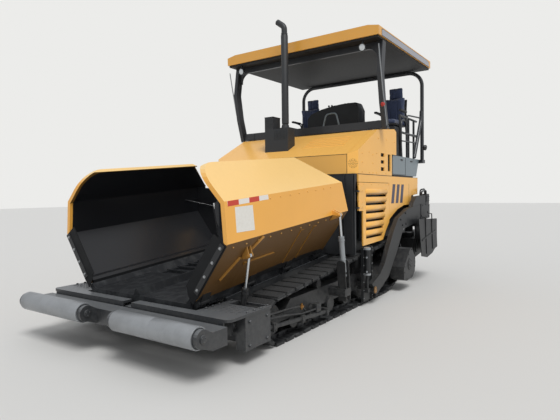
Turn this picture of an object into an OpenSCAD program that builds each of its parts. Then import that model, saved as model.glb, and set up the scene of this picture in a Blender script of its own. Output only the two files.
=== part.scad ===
/* [Datum] */
// Distance from the datum plane back to the rear edge of the screed walkway
rear_reach = 3560; // [3450:5:3650]
// Front face of the hopper bulkhead, behind the datum plane
bulk_y = 110; // [100:1:120]
// Half width of the engine body at its lower panels
body_half = 1220; // [1200:5:1240]

/* [Push rollers and front frame] */
// Distance of the push roller axis ahead of the hopper's front edge
roller_out = 422; // [400:2:460]
// Radius of a push roller
roller_r = 95; // [80:1:100]
// Height of the push roller axis
roller_z = 402; // [380:1:420]
// Half length of the push beam
beam_half = 1296; // [1250:2:1310]
// Gap between the two push rollers
roller_gap = 400; // [300:5:500]
// Thickness of a roller bracket ear
ear_t = 40; // [25:1:50]
// Depth of the push beam front to back
beam_d = 180; // [140:5:200]
// Height of the push beam
beam_h = 150; // [120:5:170]
// Height of the front deck's top face
deck_z = 478; // [470:1:485]
// Thickness of the front deck plate
deck_t = 25; // [15:1:40]
// Length of the front deck
deck_l = 450; // [430:5:455]
// Half width of the front deck
deck_half = 1300; // [1285:5:1310]

/* [Tracks] */
// Track centre, measured from the middle of the machine
track_x = 1040; // [1036:1:1044]
// Width of a track shoe
shoe_w = 320; // [300:2:324]
// Number of track shoes
shoe_n = 46; // [40:1:50]
// Height of a track shoe with its road pad
shoe_h = 60; // [50:1:66]
// Radius of the idler at the track chain
idler_r = 190; // [180:1:200]
// Radius of the sprocket at the track chain
sprocket_r = 300; // [285:1:310]
// Idler axle, forward of the datum plane
idler_y = 1680; // [1650:5:1690]
// Sprocket axle, behind the datum plane
sprocket_y = 1600; // [1560:5:1640]
// Height of the sprocket axle
sprocket_z = 450; // [430:1:470]
// Number of track rollers
track_roller_n = 7; // [5:1:8]

/* [Hopper] */
// Slope of the hopper floor and wings, in degrees
hopper_slope = 5; // [4:0.5:6]
// Wing hinge, measured from the middle of the machine
hinge_x = 787; // [780:1:795]
// Height of the wing hinge at the front of the hopper
hinge_z = 518; // [510:1:530]
// Distance of the hopper's front edge from the datum plane
hopper_l = 2429; // [2400:5:2450]
// Outward run of the wing's lower panel
low_run = 408; // [395:1:415]
// Rise of the wing's lower panel
low_rise = 567; // [550:1:580]
// Rise of the wing's side panel
side_rise = 368; // [350:1:380]
// Inward lean of the wing's side panel
side_lean = 30; // [20:1:40]
// Inward run of the wing's top panel
top_run = 330; // [320:1:340]
// Rise of the wing's top panel
top_rise = 344; // [330:1:350]
// Wing sheet thickness
wing_t = 14; // [10:1:18]
// Wing liner thickness
liner_t = 10; // [8:1:14]
// Width of the rubber flap at the front of a wing
flap_w = 170; // [140:5:200]
// Thickness of the rubber flap
flap_t = 12; // [8:1:16]
// Length of the apron plate over the front of the conveyors
apron_l = 760; // [700:10:800]
// Gap between the wings' back edge and the datum plane
wing_gap = 80; // [70:1:100]

/* [Wing cylinders] */
// Front wing cylinder's rod eye, behind the hopper's front edge
wcf_in = 379; // [370:1:385]
// Rear wing cylinder, forward of the datum plane at its rod eye
wcr_y = 461; // [450:1:480]
// Outer radius of the front barrel
wcf_r = 28; // [24:1:30]
// Outer radius of the rear barrel
wcr_r = 32; // [28:1:34]

/* [Body] */
// Height of the seam between the lower and upper body
seam_z = 1772; // [1765:1:1780]
// Height of the hood's front edge where its slope starts
hood_fold_z = 2015; // [2000:5:2030]
// Height of the upper boxes' top
box_top_z = 2510; // [2500:1:2520]
// Back end of the upper boxes
box_back = 1719; // [1700:1:1730]
// Half width of the upper boxes
box_half = 1185; // [1175:1:1190]
// Width of an upper box
box_w = 85; // [80:1:95]
// Sheet thickness of the body
sheet_t = 20; // [14:1:24]
// Front edge of the side panels
panel_front = 184; // [180:1:190]
// Back edge of the side panels
panel_back = 2664; // [2640:1:2680]
// Number of louvres in a side door
louvre_n = 6; // [5:1:7]
// Height of the operator platform's floor
floor_z = 2095; // [2090:1:2100]

/* [Canopy] */
// Half width of the canopy roof
roof_half = 1340; // [1320:5:1345]
// Front edge of the roof
roof_front = 615; // [600:5:640]
// Back edge of the roof
roof_back = 3030; // [3000:5:3060]
// Height of the roof's lower edge at the front
roof_z = 3680; // [3670:1:3690]
// Rise of the roof's lower edge from front to back
roof_rise = 50; // [40:1:60]
// Height of the roof's rim
rim_h = 120; // [100:1:130]
// Front post centre line, measured from the middle of the machine
post_x = 1290; // [1280:1:1295]
// Front post foot, behind the datum plane
post_y = 980; // [970:1:990]
// Rear hoop, behind the datum plane
hoop_y = 2900; // [2880:5:2920]
// Half width of the rear hoop
hoop_half = 1230; // [1215:1:1235]
// Radius of the rear hoop's tube
hoop_r = 32; // [28:1:36]

/* [Exhaust] */
// Exhaust pipe's place across the machine
exhaust_x = -68; // [-75:1:-60]
// Exhaust pipe, behind the datum plane
exhaust_y = 420; // [410:1:430]
// Radius of the exhaust pipe
exhaust_r = 43; // [38:1:46]
// Height of the exhaust pipe's top
exhaust_top = 4100; // [4050:5:4110]

/* [Screed and tow arms] */
// Tow pin, behind the datum plane
tow_y = 430; // [426:1:436]
// Height of the tow pin
tow_z = 205; // [200:1:210]
// Inner face of a tow arm, from the middle of the machine
arm_x = 1268; // [1264:1:1272]
// Thickness of a tow arm
arm_t = 66; // [60:1:70]
// Half width of the screed
screed_half = 1440; // [1425:5:1450]
// Front face of the screed
screed_front = 2400; // [2390:5:2410]
// Depth of the main screed
screed_d = 480; // [460:5:490]
// Height of the raised screed's sole at its front
sole_z = 400; // [390:5:415]
// Tilt of the raised screed, in degrees
screed_tilt = 8; // [7:0.5:9]
// Radius of an auger
auger_r = 180; // [170:1:184]
// Height of the auger axle
auger_z = 480; // [470:1:490]
// Auger axle, behind the datum plane
auger_y = 2170; // [2160:1:2175]

/* [Hidden] */

roller_reach = hopper_l + roller_out;
hood_half = box_half - box_w;
wcf_y = hopper_l - wcf_in;
// The model's origin is the middle of its length, so the datum plane is moved by this
datum_y = (roller_reach + roller_r - rear_reach) / 2;
eps = 0.3;
fine = 48;
roof_tilt = atan2(roof_rise, roof_back - roof_front);
roof_l = norm([roof_back - roof_front, roof_rise]);
// Height of the roof lining's underside at a place along the machine
function lining_z(y) = roof_z - 30 / cos(roof_tilt) + (y - roof_front) * tan(roof_tilt);

// Points of an arc in a plane
function arc(c, r, a0, a1, n = 6) =
  [for (i = [0:n]) c + r * [cos(a0 + (a1 - a0) * i / n), sin(a0 + (a1 - a0) * i / n)]];
function unit(v) = v / norm(v);
function left_of(v) = [-v[1], v[0]];

// A polyline moved sideways to its left by d, with mitred corners
function side_normal(p, i) = left_of(unit(p[i + 1] - p[i]));
function mitre(p, i, d) =
  let (a = side_normal(p, i - 1), b = side_normal(p, i)) p[i] + (a + b) * d / (1 + a * b);
function moved(p, d) =
  [for (i = [0:len(p) - 1])
    i == 0 ? p[0] + side_normal(p, 0) * d :
    i == len(p) - 1 ? p[i] + side_normal(p, i - 1) * d : mitre(p, i, d)];
function reversed(p) = [for (i = [len(p) - 1:-1:0]) p[i]];
// A folded sheet's section between two sideways distances
function folded(p, d0, d1) = concat(moved(p, d0), reversed(moved(p, d1)));

// A box between two corners
module block(a, b) translate(a) cube(b - a);
// An outline in the side plane (Y, Z), given its width along X
module side_plate(x0, x1) translate([x0, 0, 0]) rotate([90, 0, 90]) linear_extrude(x1 - x0) children();
// An outline in the front plane (X, Z), given its depth along Y
module front_plate(y0, y1) translate([0, y1, 0]) rotate([90, 0, 0]) linear_extrude(y1 - y0) children();
// An outline in the plan (X, Y), given its height along Z
module plan_plate(z0, z1) translate([0, 0, z0]) linear_extrude(z1 - z0) children();
module shaft_x(x0, x1, y, z, r) translate([x0, y, z]) rotate([0, 90, 0]) cylinder(h = x1 - x0, r = r, $fn = fine);
module shaft_y(y0, y1, x, z, r) translate([x, y1, z]) rotate([90, 0, 0]) cylinder(h = y1 - y0, r = r, $fn = fine);
module mirrored(side) mirror([side < 0 ? 1 : 0, 0, 0]) children();
module both_sides() {
  children();
  mirror([1, 0, 0]) children();
}

// A round tube bent in the drawing plane along p, with bends of radius br
module bent_tube(p, r, br) {
  last = len(p) - 2;
  turns = [for (i = [0:last + 1])
    i == 0 || i == last + 1 ? 0 :
    let (u = unit(p[i] - p[i - 1]), v = unit(p[i + 1] - p[i])) atan2(u[0] * v[1] - u[1] * v[0], u * v)];
  for (i = [0:last]) {
    u = unit(p[i + 1] - p[i]);
    a = p[i] + u * br * tan(abs(turns[i]) / 2);
    b = p[i + 1] - u * br * tan(abs(turns[i + 1]) / 2);
    translate([a[0], a[1], 0]) rotate([0, 90, atan2(u[1], u[0])]) cylinder(h = norm(b - a), r = r, $fn = 32);
    if (i < last) {
      n = left_of(u) * sign(turns[i + 1]);
      c = b + n * br;
      v = unit(p[i + 2] - p[i + 1]);
      e = p[i + 1] + v * br * tan(abs(turns[i + 1]) / 2);
      from = turns[i + 1] > 0 ? b - c : e - c;
      translate([c[0], c[1], 0]) rotate([0, 0, atan2(from[1], from[0])])
        rotate_extrude(angle = abs(turns[i + 1]), $fn = 64) translate([br, 0]) circle(r, $fn = 32);
    }
  }
}

// Hopper floor height along the machine
function floor_at(y) = hinge_z - 45 + tan(hopper_slope) * (y + hopper_l);
// Frame of a wing: X outward from the hinge, Y back along it, Z square to it
module on_hinge(side = 1) mirrored(side) translate([hinge_x, -hopper_l, hinge_z]) rotate([hopper_slope, 0, 0]) children();

// The same frame with X from the middle of the machine
module on_floor() translate([0, -hopper_l, hinge_z]) rotate([hopper_slope, 0, 0]) children();
module place() translate([0, datum_y, 0]) children();

sl = sin(hopper_slope);
cl = cos(hopper_slope);
tl = tan(hopper_slope);
pin_r = 16;
pin_fit = 0.3;
eye_r = 26;
eye_half = 14;
lug_t = 12;
lug_gap = 6;
lug_in = eye_half + lug_gap;

// Cylinder ends in the wing's frame: outward from the hinge and square to it
wcf_eye = [345, 395];
wcf_pivot = [193, -265];
wcf_along = (hopper_l - wcf_y + wcf_eye[1] * sl) / cl;
wcf_barrel = 350;
wcf_rod = 460;
wcr_eye = [480, 563];
wcr_pivot = [503, -175];
wcr_along = (hopper_l - wcr_y + wcr_eye[1] * sl) / cl;
wcr_barrel = 480;
wcr_rod = 528;

wing_line = [[24, 34], [low_run, low_rise], [low_run - side_lean, low_rise + side_rise],
  [low_run - side_lean - top_run, low_rise + side_rise + top_rise]];
low_u = unit(wing_line[1] - wing_line[0]);
low_n = left_of(low_u);
// A point inside the lower panel's sheet, by its distance up the panel
function skin_point(s) = wing_line[0] + low_u * s + low_n * 6;
rim_w = 36;
rim_in = 30;
hinge_pin = 20;
hinge_w = 110;
wing_l = (hopper_l - wing_gap) / cl;
hinge_step = (wing_l - hinge_w - 148) / 3;
hinge_at = [for (i = [0:3]) 60 + i * hinge_step];
corner_r = 230;
// Height of the wing's top edge and of its upper fold at a place along the machine
function top_at(y) = hinge_z + tl * (y + hopper_l) + wing_line[3][1] / cl;
function fold_at(y) = hinge_z + tl * (y + hopper_l) + wing_line[2][1] / cl;

// Side outline of a wing: upright ends, rounded top front corner, cut top back corner
module wing_outline(inset = 0, past = 0) {
  cx = -hopper_l + corner_r;
  cz = top_at(cx) - corner_r / cl;
  polygon(concat([[-hopper_l + inset, 400], [-wing_gap + past, 400],
    [-wing_gap + past, hinge_z + tl * hopper_l + low_rise], [past - 188, fold_at(-188)],
    [past - 772 + inset, top_at(-772) - inset / cl]],
    arc([cx, cz], corner_r - inset, 90 + hopper_slope, 180, 8)));
}
module wing_sheet(d0, d1, first = 0, last = 3)
  on_hinge() front_plate(-260, hopper_l + 60)
    polygon(folded([for (i = [first:last]) wing_line[i]], d0, d1));
// A pair of lugs square to the hinge, around an eye and down to a foot
module eye_lugs(along, eye, foot, a0, a1, r = eye_r) {
  for (s = [-1, 1]) {
    y = along + s * (lug_in + lug_t / 2);
    front_plate(y - lug_t / 2, y + lug_t / 2) polygon(concat(foot, arc(eye, r, a0, a1, 8)));
    // Head of the pin, outside the lug
    shaft_y(min(y, y + s * 14), max(y, y + s * 14), eye[0], eye[1], pin_r);
  }
}
// A flat bar lying on the outside of the lower panel between two places along it
module panel_bar(a, b, w, h) {
  t = b - a;
  on_hinge() translate([wing_line[0][0] + low_u[0] * a[1], a[0], wing_line[0][1] + low_u[1] * a[1]])
    rotate([0, -atan2(low_u[1], low_u[0]), 0])
      rotate([0, 0, atan2(t[0], t[1])])
        translate([0, -w / 2, -h]) cube([norm(t), w, h + 1]);
}

module wing_body() place() color("#e8a53a") {
  intersection() {
    union() {
      wing_sheet(0, wing_t);
      // Inner rim along the front and the top edge
      difference() {
        wing_sheet(wing_t - 1, wing_t + rim_in, 1, 3);
        side_plate(0, hinge_x + 800) wing_outline(rim_w, 40);
      }
    }
    side_plate(0, hinge_x + 800) wing_outline();
  }
  // Stiffening bars on the outside of the lower panel, meeting at the front lugs
  panel_bar([wcf_along + 60, 500], [wcf_along + 170, 640], 26, 24);
  panel_bar([wcf_along - 60, 440], [wcf_along - 210, 200], 26, 24);
  panel_bar([wcf_along + 60, 330], [wcf_along + 560, 330], 26, 20);
  for (a = [0.58, 0.7]) panel_bar([wing_l * a, 90], [wing_l * a, 560], 60, 10);
  on_hinge() {
    // Hinge knuckles with their webs up to the lower panel
    for (a = hinge_at) difference() {
      union() {
        shaft_y(a, a + hinge_w, 0, 0, 34);
        front_plate(a, a + hinge_w)
          polygon([[-10, 32], [30, 8], wing_line[0] + low_u * 74 - low_n * 3,
            wing_line[0] + low_u * 70 + low_n * 8, wing_line[0] + low_u * 6 + low_n * 8]);
      }
      shaft_y(a - 1, a + hinge_w + 1, 0, 0, hinge_pin + pin_fit);
    }
    eye_lugs(wcf_along, wcf_eye, [skin_point(560), skin_point(390)], -60, 50);
    eye_lugs(wcr_along, wcr_eye, [wing_line[1] + [-11, 60], wing_line[1] + [-7, 2], skin_point(560)], -60, 60);
  }
}
module wing_left() wing_body();
module wing_right() mirror([1, 0, 0]) wing_body();

liner_d = wing_t + eps;
module liner_body() place() color("#1c1d1f") {
  intersection() {
    wing_sheet(liner_d, liner_d + liner_t);
    side_plate(0, hinge_x + 800) wing_outline(rim_w + 4, -10);
  }
  // Rubber strip along the foot of the liner, over the hinge
  intersection() {
    on_hinge() front_plate(-260, hopper_l + 60) polygon([
      wing_line[0] + low_u * 96 + low_n * (liner_d + 2), wing_line[0] + low_u * 50 + low_n * 42,
      wing_line[0] - low_u * 8 + low_n * 42, wing_line[0] - low_u * 8 + low_n * 36,
      wing_line[0] + low_u * 46 + low_n * 36, wing_line[0] + low_u * 70 + low_n * (liner_d + 2)]);
    side_plate(0, hinge_x + 800) wing_outline(rim_w + 4, -10);
  }
  // Rubber flap on the front edge of the lower panel
  intersection() {
    on_hinge() front_plate(-260, 400)
      polygon(folded([wing_line[0] + low_u * 40, wing_line[1] - low_u * 16], -4, flap_w));
    block([-1, -hopper_l - eps - flap_t, 0], [2000, -hopper_l - eps, 3000]);
  }
}
module wing_liner_left() liner_body();
module wing_liner_right() mirror([1, 0, 0]) liner_body();

// Cylinder parts, drawn in the plane across the hinge
function towards(a, b) = atan2(b[1] - a[1], b[0] - a[0]);
module on_axis(along, from, to) on_hinge() translate([from[0], along, from[1]])
  rotate([0, 90 - towards(from, to), 0]) children();
// A barrel standing on its pivot eye
module barrel_shape(r, rod_r, length) difference() {
  union() {
    shaft_y(-eye_half, eye_half, 0, 0, eye_r);
    block([-13, -eye_half, 15], [13, eye_half, 46]);
    translate([0, 0, 44]) cylinder(h = length - 44, r = r, $fn = fine);
    translate([0, 0, length - 26]) cylinder(h = 26, r = r + 4, $fn = fine);
  }
  shaft_y(-eye_half - 1, eye_half + 1, 0, 0, pin_r + pin_fit);
  translate([0, 0, 50]) cylinder(h = length, r = rod_r + pin_fit, $fn = fine);
}
// A rod hanging from its eye
module rod_shape(rod_r, length) {
  shaft_y(-eye_half, eye_half, 0, 0, eye_r - 2);
  translate([0, 0, -length]) cylinder(h = length - 15, r = rod_r, $fn = fine);
}
front_rod_r = 13;
rear_rod_r = 17;
module front_barrel() place() color("#2e3133") on_axis(wcf_along, wcf_pivot, wcf_eye)
  barrel_shape(wcf_r, front_rod_r, wcf_barrel);
module front_rod() place() color("#c9cccf") on_hinge() translate([wcf_eye[0], wcf_along, wcf_eye[1]])
  rotate([0, 90 - towards(wcf_pivot, wcf_eye), 0]) rod_shape(front_rod_r, wcf_rod);
module rear_barrel() place() color("#2e3133") on_axis(wcr_along, wcr_pivot, wcr_eye)
  barrel_shape(wcr_r, rear_rod_r, wcr_barrel);
module rear_rod() place() color("#c9cccf") on_hinge() translate([wcr_eye[0], wcr_along, wcr_eye[1]])
  rotate([0, 90 - towards(wcr_pivot, wcr_eye), 0]) rod_shape(rear_rod_r, wcr_rod);
module front_barrel_left() front_barrel();
module front_barrel_right() mirror([1, 0, 0]) front_barrel();
module front_rod_left() front_rod();
module front_rod_right() mirror([1, 0, 0]) front_rod();
module rear_barrel_left() rear_barrel();
module rear_barrel_right() mirror([1, 0, 0]) rear_barrel();
module rear_rod_left() rear_rod();
module rear_rod_right() mirror([1, 0, 0]) rear_rod();

// Push beam and front frame
beam_y0 = -(roller_reach - 105);
beam_y1 = beam_y0 + beam_d;
beam_z0 = 280;
stub_r = 25;
pivot_y = beam_y1 + 106;
module push_beam() place() color("#34373a") {
  block([-beam_half, beam_y0, beam_z0], [beam_half, beam_y1, beam_z0 + beam_h]);
  both_sides() for (x = [roller_gap / 2, beam_half - ear_t]) difference() {
    side_plate(x, x + ear_t) polygon(concat(arc([-roller_reach, roller_z], 78, 75, 270, 12),
      [[beam_y0 + 1, beam_z0 + 6], [beam_y0 + 1, beam_z0 + beam_h]]));
    shaft_x(x - 1, x + ear_t + 1, -roller_reach, roller_z, stub_r + pin_fit);
  }
  // Tongue around the beam's pivot pin
  difference() {
    plan_plate(332, 398) polygon([[-170, beam_y1 - 1], [170, beam_y1 - 1], [110, pivot_y + 60], [-110, pivot_y + 60]]);
    translate([0, pivot_y, 331]) cylinder(h = 68, r = 40 + pin_fit, $fn = fine);
  }
}
module push_roller() place() color("#45484b") {
  shaft_x(roller_gap / 2 + ear_t + 6, beam_half - ear_t - 6, -roller_reach, roller_z, roller_r);
  shaft_x(roller_gap / 2 + 2, beam_half - 2, -roller_reach, roller_z, stub_r);
}
module push_roller_left() push_roller();
module push_roller_right() mirror([1, 0, 0]) push_roller();

deck_front = -(hopper_l - 39);
deck_back = deck_front + deck_l;
cover_front = beam_y1 + 16;
module front_frame() place() color("#34373a") {
  both_sides() {
    // Side deck with the slot for the wing cylinder, and the cover plate ahead of the hopper
    difference() {
      plan_plate(deck_z - deck_t, deck_z) polygon(concat([[822, deck_front - 50], [822, deck_back],
        [deck_half, deck_back]], arc([deck_half - 60, cover_front + 60], 60, 0, -90, 6),
        [[60, cover_front], [60, deck_front - 50]]));
      block([915, -wcf_y - 40, 400], [1250, -wcf_y + 98, 500]);
    }
    block([1180, deck_front + 70, 150], [1290, deck_back - 5, deck_z - deck_t + 1]);
    block([-1, deck_front + 6, 290], [1180, deck_front + 30, 435]);
    block([822, deck_front + 6, 290], [1181, deck_front + 30, deck_z - deck_t + 1]);
    block([-1, deck_front + 20, 419], [830, deck_back - 60, 435]);
    block([-1, deck_back - 210, 150], [1181, deck_back - 5, 235]);
    block([800, deck_front + 60, 234], [830, deck_back - 80, deck_z - deck_t + 1]);
    // Turned-down front edge of the cover plate
    block([60, cover_front, deck_z - 60], [deck_half - 60, cover_front + 10, deck_z - deck_t + 1]);
    on_hinge() for (s = [-1, 1]) {
      y = wcf_along + s * (lug_in + lug_t / 2);
      front_plate(y - lug_t / 2, y + lug_t / 2) polygon(concat(
        [wcf_pivot + [70, -60], wcf_pivot + [-70, -60]], arc(wcf_pivot, eye_r, 150, 30, 8)));
    }
    on_hinge() shaft_y(wcf_along - lug_in - lug_t, wcf_along + lug_in + lug_t,
      wcf_pivot[0], wcf_pivot[1], pin_r);
  }
  // Clevis and pin of the push beam
  for (z = [[308, 331.7], [398.3, 422]]) plan_plate(z[0], z[1])
    polygon([[-190, deck_front + 7], [190, deck_front + 7], [110, pivot_y - 60], [-110, pivot_y - 60]]);
  translate([0, pivot_y, 300]) cylinder(h = 134, r = 40, $fn = fine);
}

// Track path: idler, straight top run, sprocket, and a bottom run that rises to the sprocket
idler_c = [-idler_y, idler_r + shoe_h];
sprocket_c = [sprocket_y, sprocket_z];
flat_end = 1250;
// Angles of the normals where a loop of radii r1 and r2 leaves the wheels; g is its height above ground
function top_normal(r1, r2) = let (v = sprocket_c - idler_c)
  atan2(v[1], v[0]) + 90 + asin((r2 - r1) / norm(v));
function rise_normal(r2, g) = let (v = [flat_end, g] - sprocket_c)
  atan2(v[1], v[0]) + acos(r2 / norm(v));
function loop_points(k, n1 = 12, n2 = 14) =
  let (r1 = idler_r + k, r2 = sprocket_r + k, g = shoe_h - k, tn = top_normal(r1, r2))
  concat(arc(idler_c, r1, tn, 270, n1), [[flat_end, g]], arc(sprocket_c, r2, rise_normal(r2, g), tn, n2));
function seg_len(p, i) = norm(p[(i + 1) % len(p)] - p[i]);
function sums(p) = [for (i = 0, s = 0; i <= len(p); s = s + (i < len(p) ? seg_len(p, i) : 0), i = i + 1) s];
function find_seg(t, s, i = 0) = i >= len(t) - 2 || t[i + 1] > s ? i : find_seg(t, s, i + 1);
function at_loop(p, t, s) = let (i = find_seg(t, s), q = p[(i + 1) % len(p)], f = (s - t[i]) / (t[i + 1] - t[i]))
  p[i] + (q - p[i]) * f;
// Shoes: four points each, standing out of the chain's loop
module track_profile() {
  base = loop_points(0, 14, 18);
  t = sums(base);
  all_l = t[len(base)];
  pitch = all_l / shoe_n;
  difference() {
    polygon([for (k = [0:shoe_n - 1]) each
      let (a = at_loop(base, t, (k + 0.04) * pitch), b = at_loop(base, t, (k + 0.96) * pitch),
        u = unit(b - a), n = -left_of(u))
      [a + n * (shoe_h * 0.45), a + n * shoe_h + u * 8, b + n * shoe_h - u * 8, b + n * (shoe_h * 0.45)]]);
    polygon(base);
  }
}
module track_loop() place() color("#26282a") {
  side_plate(track_x - shoe_w / 2, track_x + shoe_w / 2) track_profile();
  side_plate(track_x - 62, track_x + 62) difference() {
    polygon(loop_points(1));
    polygon(loop_points(-30));
  }
}
module track_left() track_loop();
module track_right() mirror([1, 0, 0]) track_loop();

roller_step = 2500 / (track_roller_n - 1);
post_span = [wcr_pivot[0] - 62, wcr_pivot[0] + 46];
module track_frame() place() color("#26282a") {
  side_plate(track_x - 75, track_x + 75) polygon([[-1500, 250], [-1330, 400], [1150, 420], [1330, 480],
    [1330, 330], [1150, 205], [-1400, 205]]);
  shaft_x(track_x - 70, track_x + 70, idler_c[0], idler_c[1], idler_r - 33);
  shaft_x(track_x - 100, track_x + 100, idler_c[0], idler_c[1], 55);
  for (x = [track_x - 100, track_x + 76]) block([x, -1720, 215], [x + 24, -1300, 285]);
  shaft_x(track_x - 70, track_x + 70, sprocket_y, sprocket_z, sprocket_r - 33);
  shaft_x(track_x - 140, track_x + 110, sprocket_y, sprocket_z, 130);
  for (i = [0:track_roller_n - 1])
    shaft_x(track_x - 100, track_x + 100, -1300 + i * roller_step, shoe_h + 30 + eps + 85, 85);
  for (y = [-700, 350]) {
    shaft_x(track_x - 70, track_x + 70, y, loop_top(y) - 30 - eps - 55, 55);
    block([track_x - 20, y - 30, 390], [track_x + 20, y + 30, loop_top(y) - 60]);
  }
  // Arm that carries the tow guide
  block([track_x + 74, 330, 215], [tow_back - eps, 500, 320]);
  // Rear guard and its hub
  shaft_x(track_x + 100, 1216, sprocket_y, sprocket_z, 90);
  side_plate(1215, 1227) polygon(guard_line);
  side_plate(1226, 1420) difference() {
    polygon(guard_line);
    polygon(guard_inner);
  }
  side_plate(1408, 1420) polygon(guard_line);
}
guard_line = [[1373, 200], [1373, 385], [1590, 577], [1660, 632], [1750, 645], [1900, 480], [1919, 395],
  [1880, 260], [1760, 170], [1500, 160]];
guard_inner = [[1386, 208], [1386, 379], [1598, 567], [1664, 619], [1744, 631], [1888, 475], [1906, 396],
  [1869, 269], [1755, 183], [1503, 173]];
// Height of the chain's top run
function loop_top(y) = let (a = idler_c + idler_r * [cos(top_normal(idler_r, sprocket_r)),
    sin(top_normal(idler_r, sprocket_r))], b = sprocket_c + sprocket_r * [cos(top_normal(idler_r,
    sprocket_r)), sin(top_normal(idler_r, sprocket_r))]) a[1] + (b[1] - a[1]) * (y - a[0]) / (b[0] - a[0]);
module track_frame_left() track_frame();
module track_frame_right() mirror([1, 0, 0]) track_frame();

// Post for the rear wing cylinder, carried through the track on the track frame
module cylinder_post() place() color("#2b2d2f") {
  block([track_x + 75 + eps, -wcr_y, 275], [hinge_x + post_span[1], 150 - wcr_y, 365]);
  on_hinge() {
    for (s = [-1, 1]) {
      y = wcr_along + s * 49;
      front_plate(y - 6, y + 6) polygon([[post_span[0], -480], [post_span[1], -480],
        [post_span[1], -10], [post_span[1] - 20, 10], [post_span[0] + 20, 10], [post_span[0], -10]]);
      shaft_y(wcr_along + (s < 0 ? -54 : lug_in), wcr_along + (s < 0 ? -lug_in : 54),
        wcr_pivot[0], wcr_pivot[1], eye_r);
    }
    shaft_y(wcr_along - 54, wcr_along + 54, wcr_pivot[0], wcr_pivot[1], pin_r);
  }
}
module cylinder_post_left() cylinder_post();
module cylinder_post_right() mirror([1, 0, 0]) cylinder_post();

// Hopper floor
floor_n = -45;
floor_t = 16;
floor_end = (hopper_l + 2000) / cl;
hopper_end = (hopper_l + 100) / cl;
function floor_under(y) = hinge_z + (floor_n - floor_t) / cl + tl * (y + hopper_l);
module hopper_floor() place() color("#232527") on_floor() {
  block([-742, 0, floor_n - floor_t], [742, floor_end, floor_n]);
  both_sides() {
    block([740, 0, floor_n - floor_t], [763, hopper_end, floor_n]);
    // Sloped guard between the conveyor and the wing
    front_plate(0, hopper_end) polygon([[640, floor_n - 1], [752, floor_n - 1], [742, 50], [734, 50]]);
    translate([hinge_x, 0, 0]) for (a = hinge_at) {
      for (y = [a - 30, a + hinge_w + 6]) front_plate(y, y + 24)
        polygon(concat([[-45, floor_n - floor_t], [-45, 6]], arc([0, 0], 32, 110, -60, 8), [[-10, -61]]));
      shaft_y(a - 28, a + hinge_w + 28, 0, 0, hinge_pin);
    }
  }
  // Ridge over the middle of the two conveyors
  front_plate(0, hopper_end) polygon([[-75, floor_n - 1], [75, floor_n - 1], [14, 70], [-14, 70]]);
  // Apron plate over the front of the conveyors, turned down at its front edge
  block([-742, -6, -8], [742, apron_l, 2]);
  block([-742, -6, floor_n - 36], [742, 8, -7]);
}
slat_n = 24;
module conveyor() place() color("#3c3f42") on_floor() both_sides() {
  for (x = [90, 600]) block([x, 40, floor_n + eps], [x + 30, floor_end - 20, floor_n + 22]);
  for (i = [0:slat_n - 1]) block([90, 70 + i * 180, floor_n + 4], [630, 100 + i * 180, floor_n + 34]);
}

// Chassis
chassis_x = [745, 785];
module chassis() place() color("#2b2d2f") {
  both_sides() {
    side_plate(chassis_x[0], chassis_x[1]) polygon([[deck_front + 30 + eps, 245],
      [deck_front + 30 + eps, 418.7], [deck_back - 35, 418.7], [deck_back - 35, floor_under(deck_back - 35) - 0.4],
      [bulk_y + 40 + eps, floor_under(bulk_y + 40 + eps) - 0.4], [bulk_y + 40 + eps, 1130],
      [1500, 1130], [1500, 1319.7], [2035, 1319.7], [2035, 1150], [2240, 1150], [2240, 760],
      [1700, 760], [1500, 245]]);
    for (y = [-900, 700]) block([784, y, 280], [track_x - 75 - eps, y + 90, 370]);
    shaft_x(784, track_x - 140 - eps, sprocket_y, sprocket_z, 110);
    // Rear body
    block([-1, 1500, 1490], [981, 2640, seam_z]);
    block([700, 1500, 1320], [1200, 2040, seam_z]);
    block([980, 2030, 1752], [1200, 2640, seam_z]);
    block([1180, 2600, 1500], [1200, 2640, 1753]);
    // Bracket and lugs of the screed lift cylinders
    block([980, lift_top[0] - 80, 1500], [1130, lift_top[0] + 80, 1560]);
    for (s = [-1, 1]) {
      x = lift_x + s * (lug_in + lug_t / 2);
      side_plate(x - lug_t / 2, x + lug_t / 2) polygon(concat([[lift_top[0] + 50, 1501],
        [lift_top[0] - 50, 1501]], arc(lift_top, eye_r, 190, 350, 8)));
    }
    shaft_x(lift_x - lug_in - lug_t, lift_x + lug_in + lug_t, lift_top[0], lift_top[1], pin_r);
  }
  for (y = [-1300, -300, 700]) block([-746, y, 270], [746, y + 90, 360]);
  block([-786, bulk_y + 40 + eps, 1129], [786, 1560, 1150]);
}

// Bulkhead behind the hopper, with the two conveyor gates
module bulkhead() place() color("#1f2123") {
  difference() {
    block([-1200, bulk_y, 700], [1200, bulk_y + 40, seam_z]);
    both_sides() block([45, bulk_y - 1, 699], [725, bulk_y + 41, 1010]);
  }
  both_sides() {
    block([1160, bulk_y + 39, 1664], [1200, 300, seam_z]);
    // Brackets and pins of the door hinges
    for (z = door_hinges) {
      block([1185, bulk_y + 39, z], [1200, door_pin[1], z + 20]);
      block([1190, bulk_y + 20, z], [door_pin[0] + 10, door_pin[1], z + 20]);
      translate([door_pin[0], door_pin[1], z]) cylinder(h = 20, r = 10, $fn = fine);
      translate([door_pin[0], door_pin[1], z + 19]) cylinder(h = 80, r = 8, $fn = fine);
    }
  }
}
module engine() place() color("#55595c")
  block([-480, 250, 1150 + eps], [480, 1450, 1900]);

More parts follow.
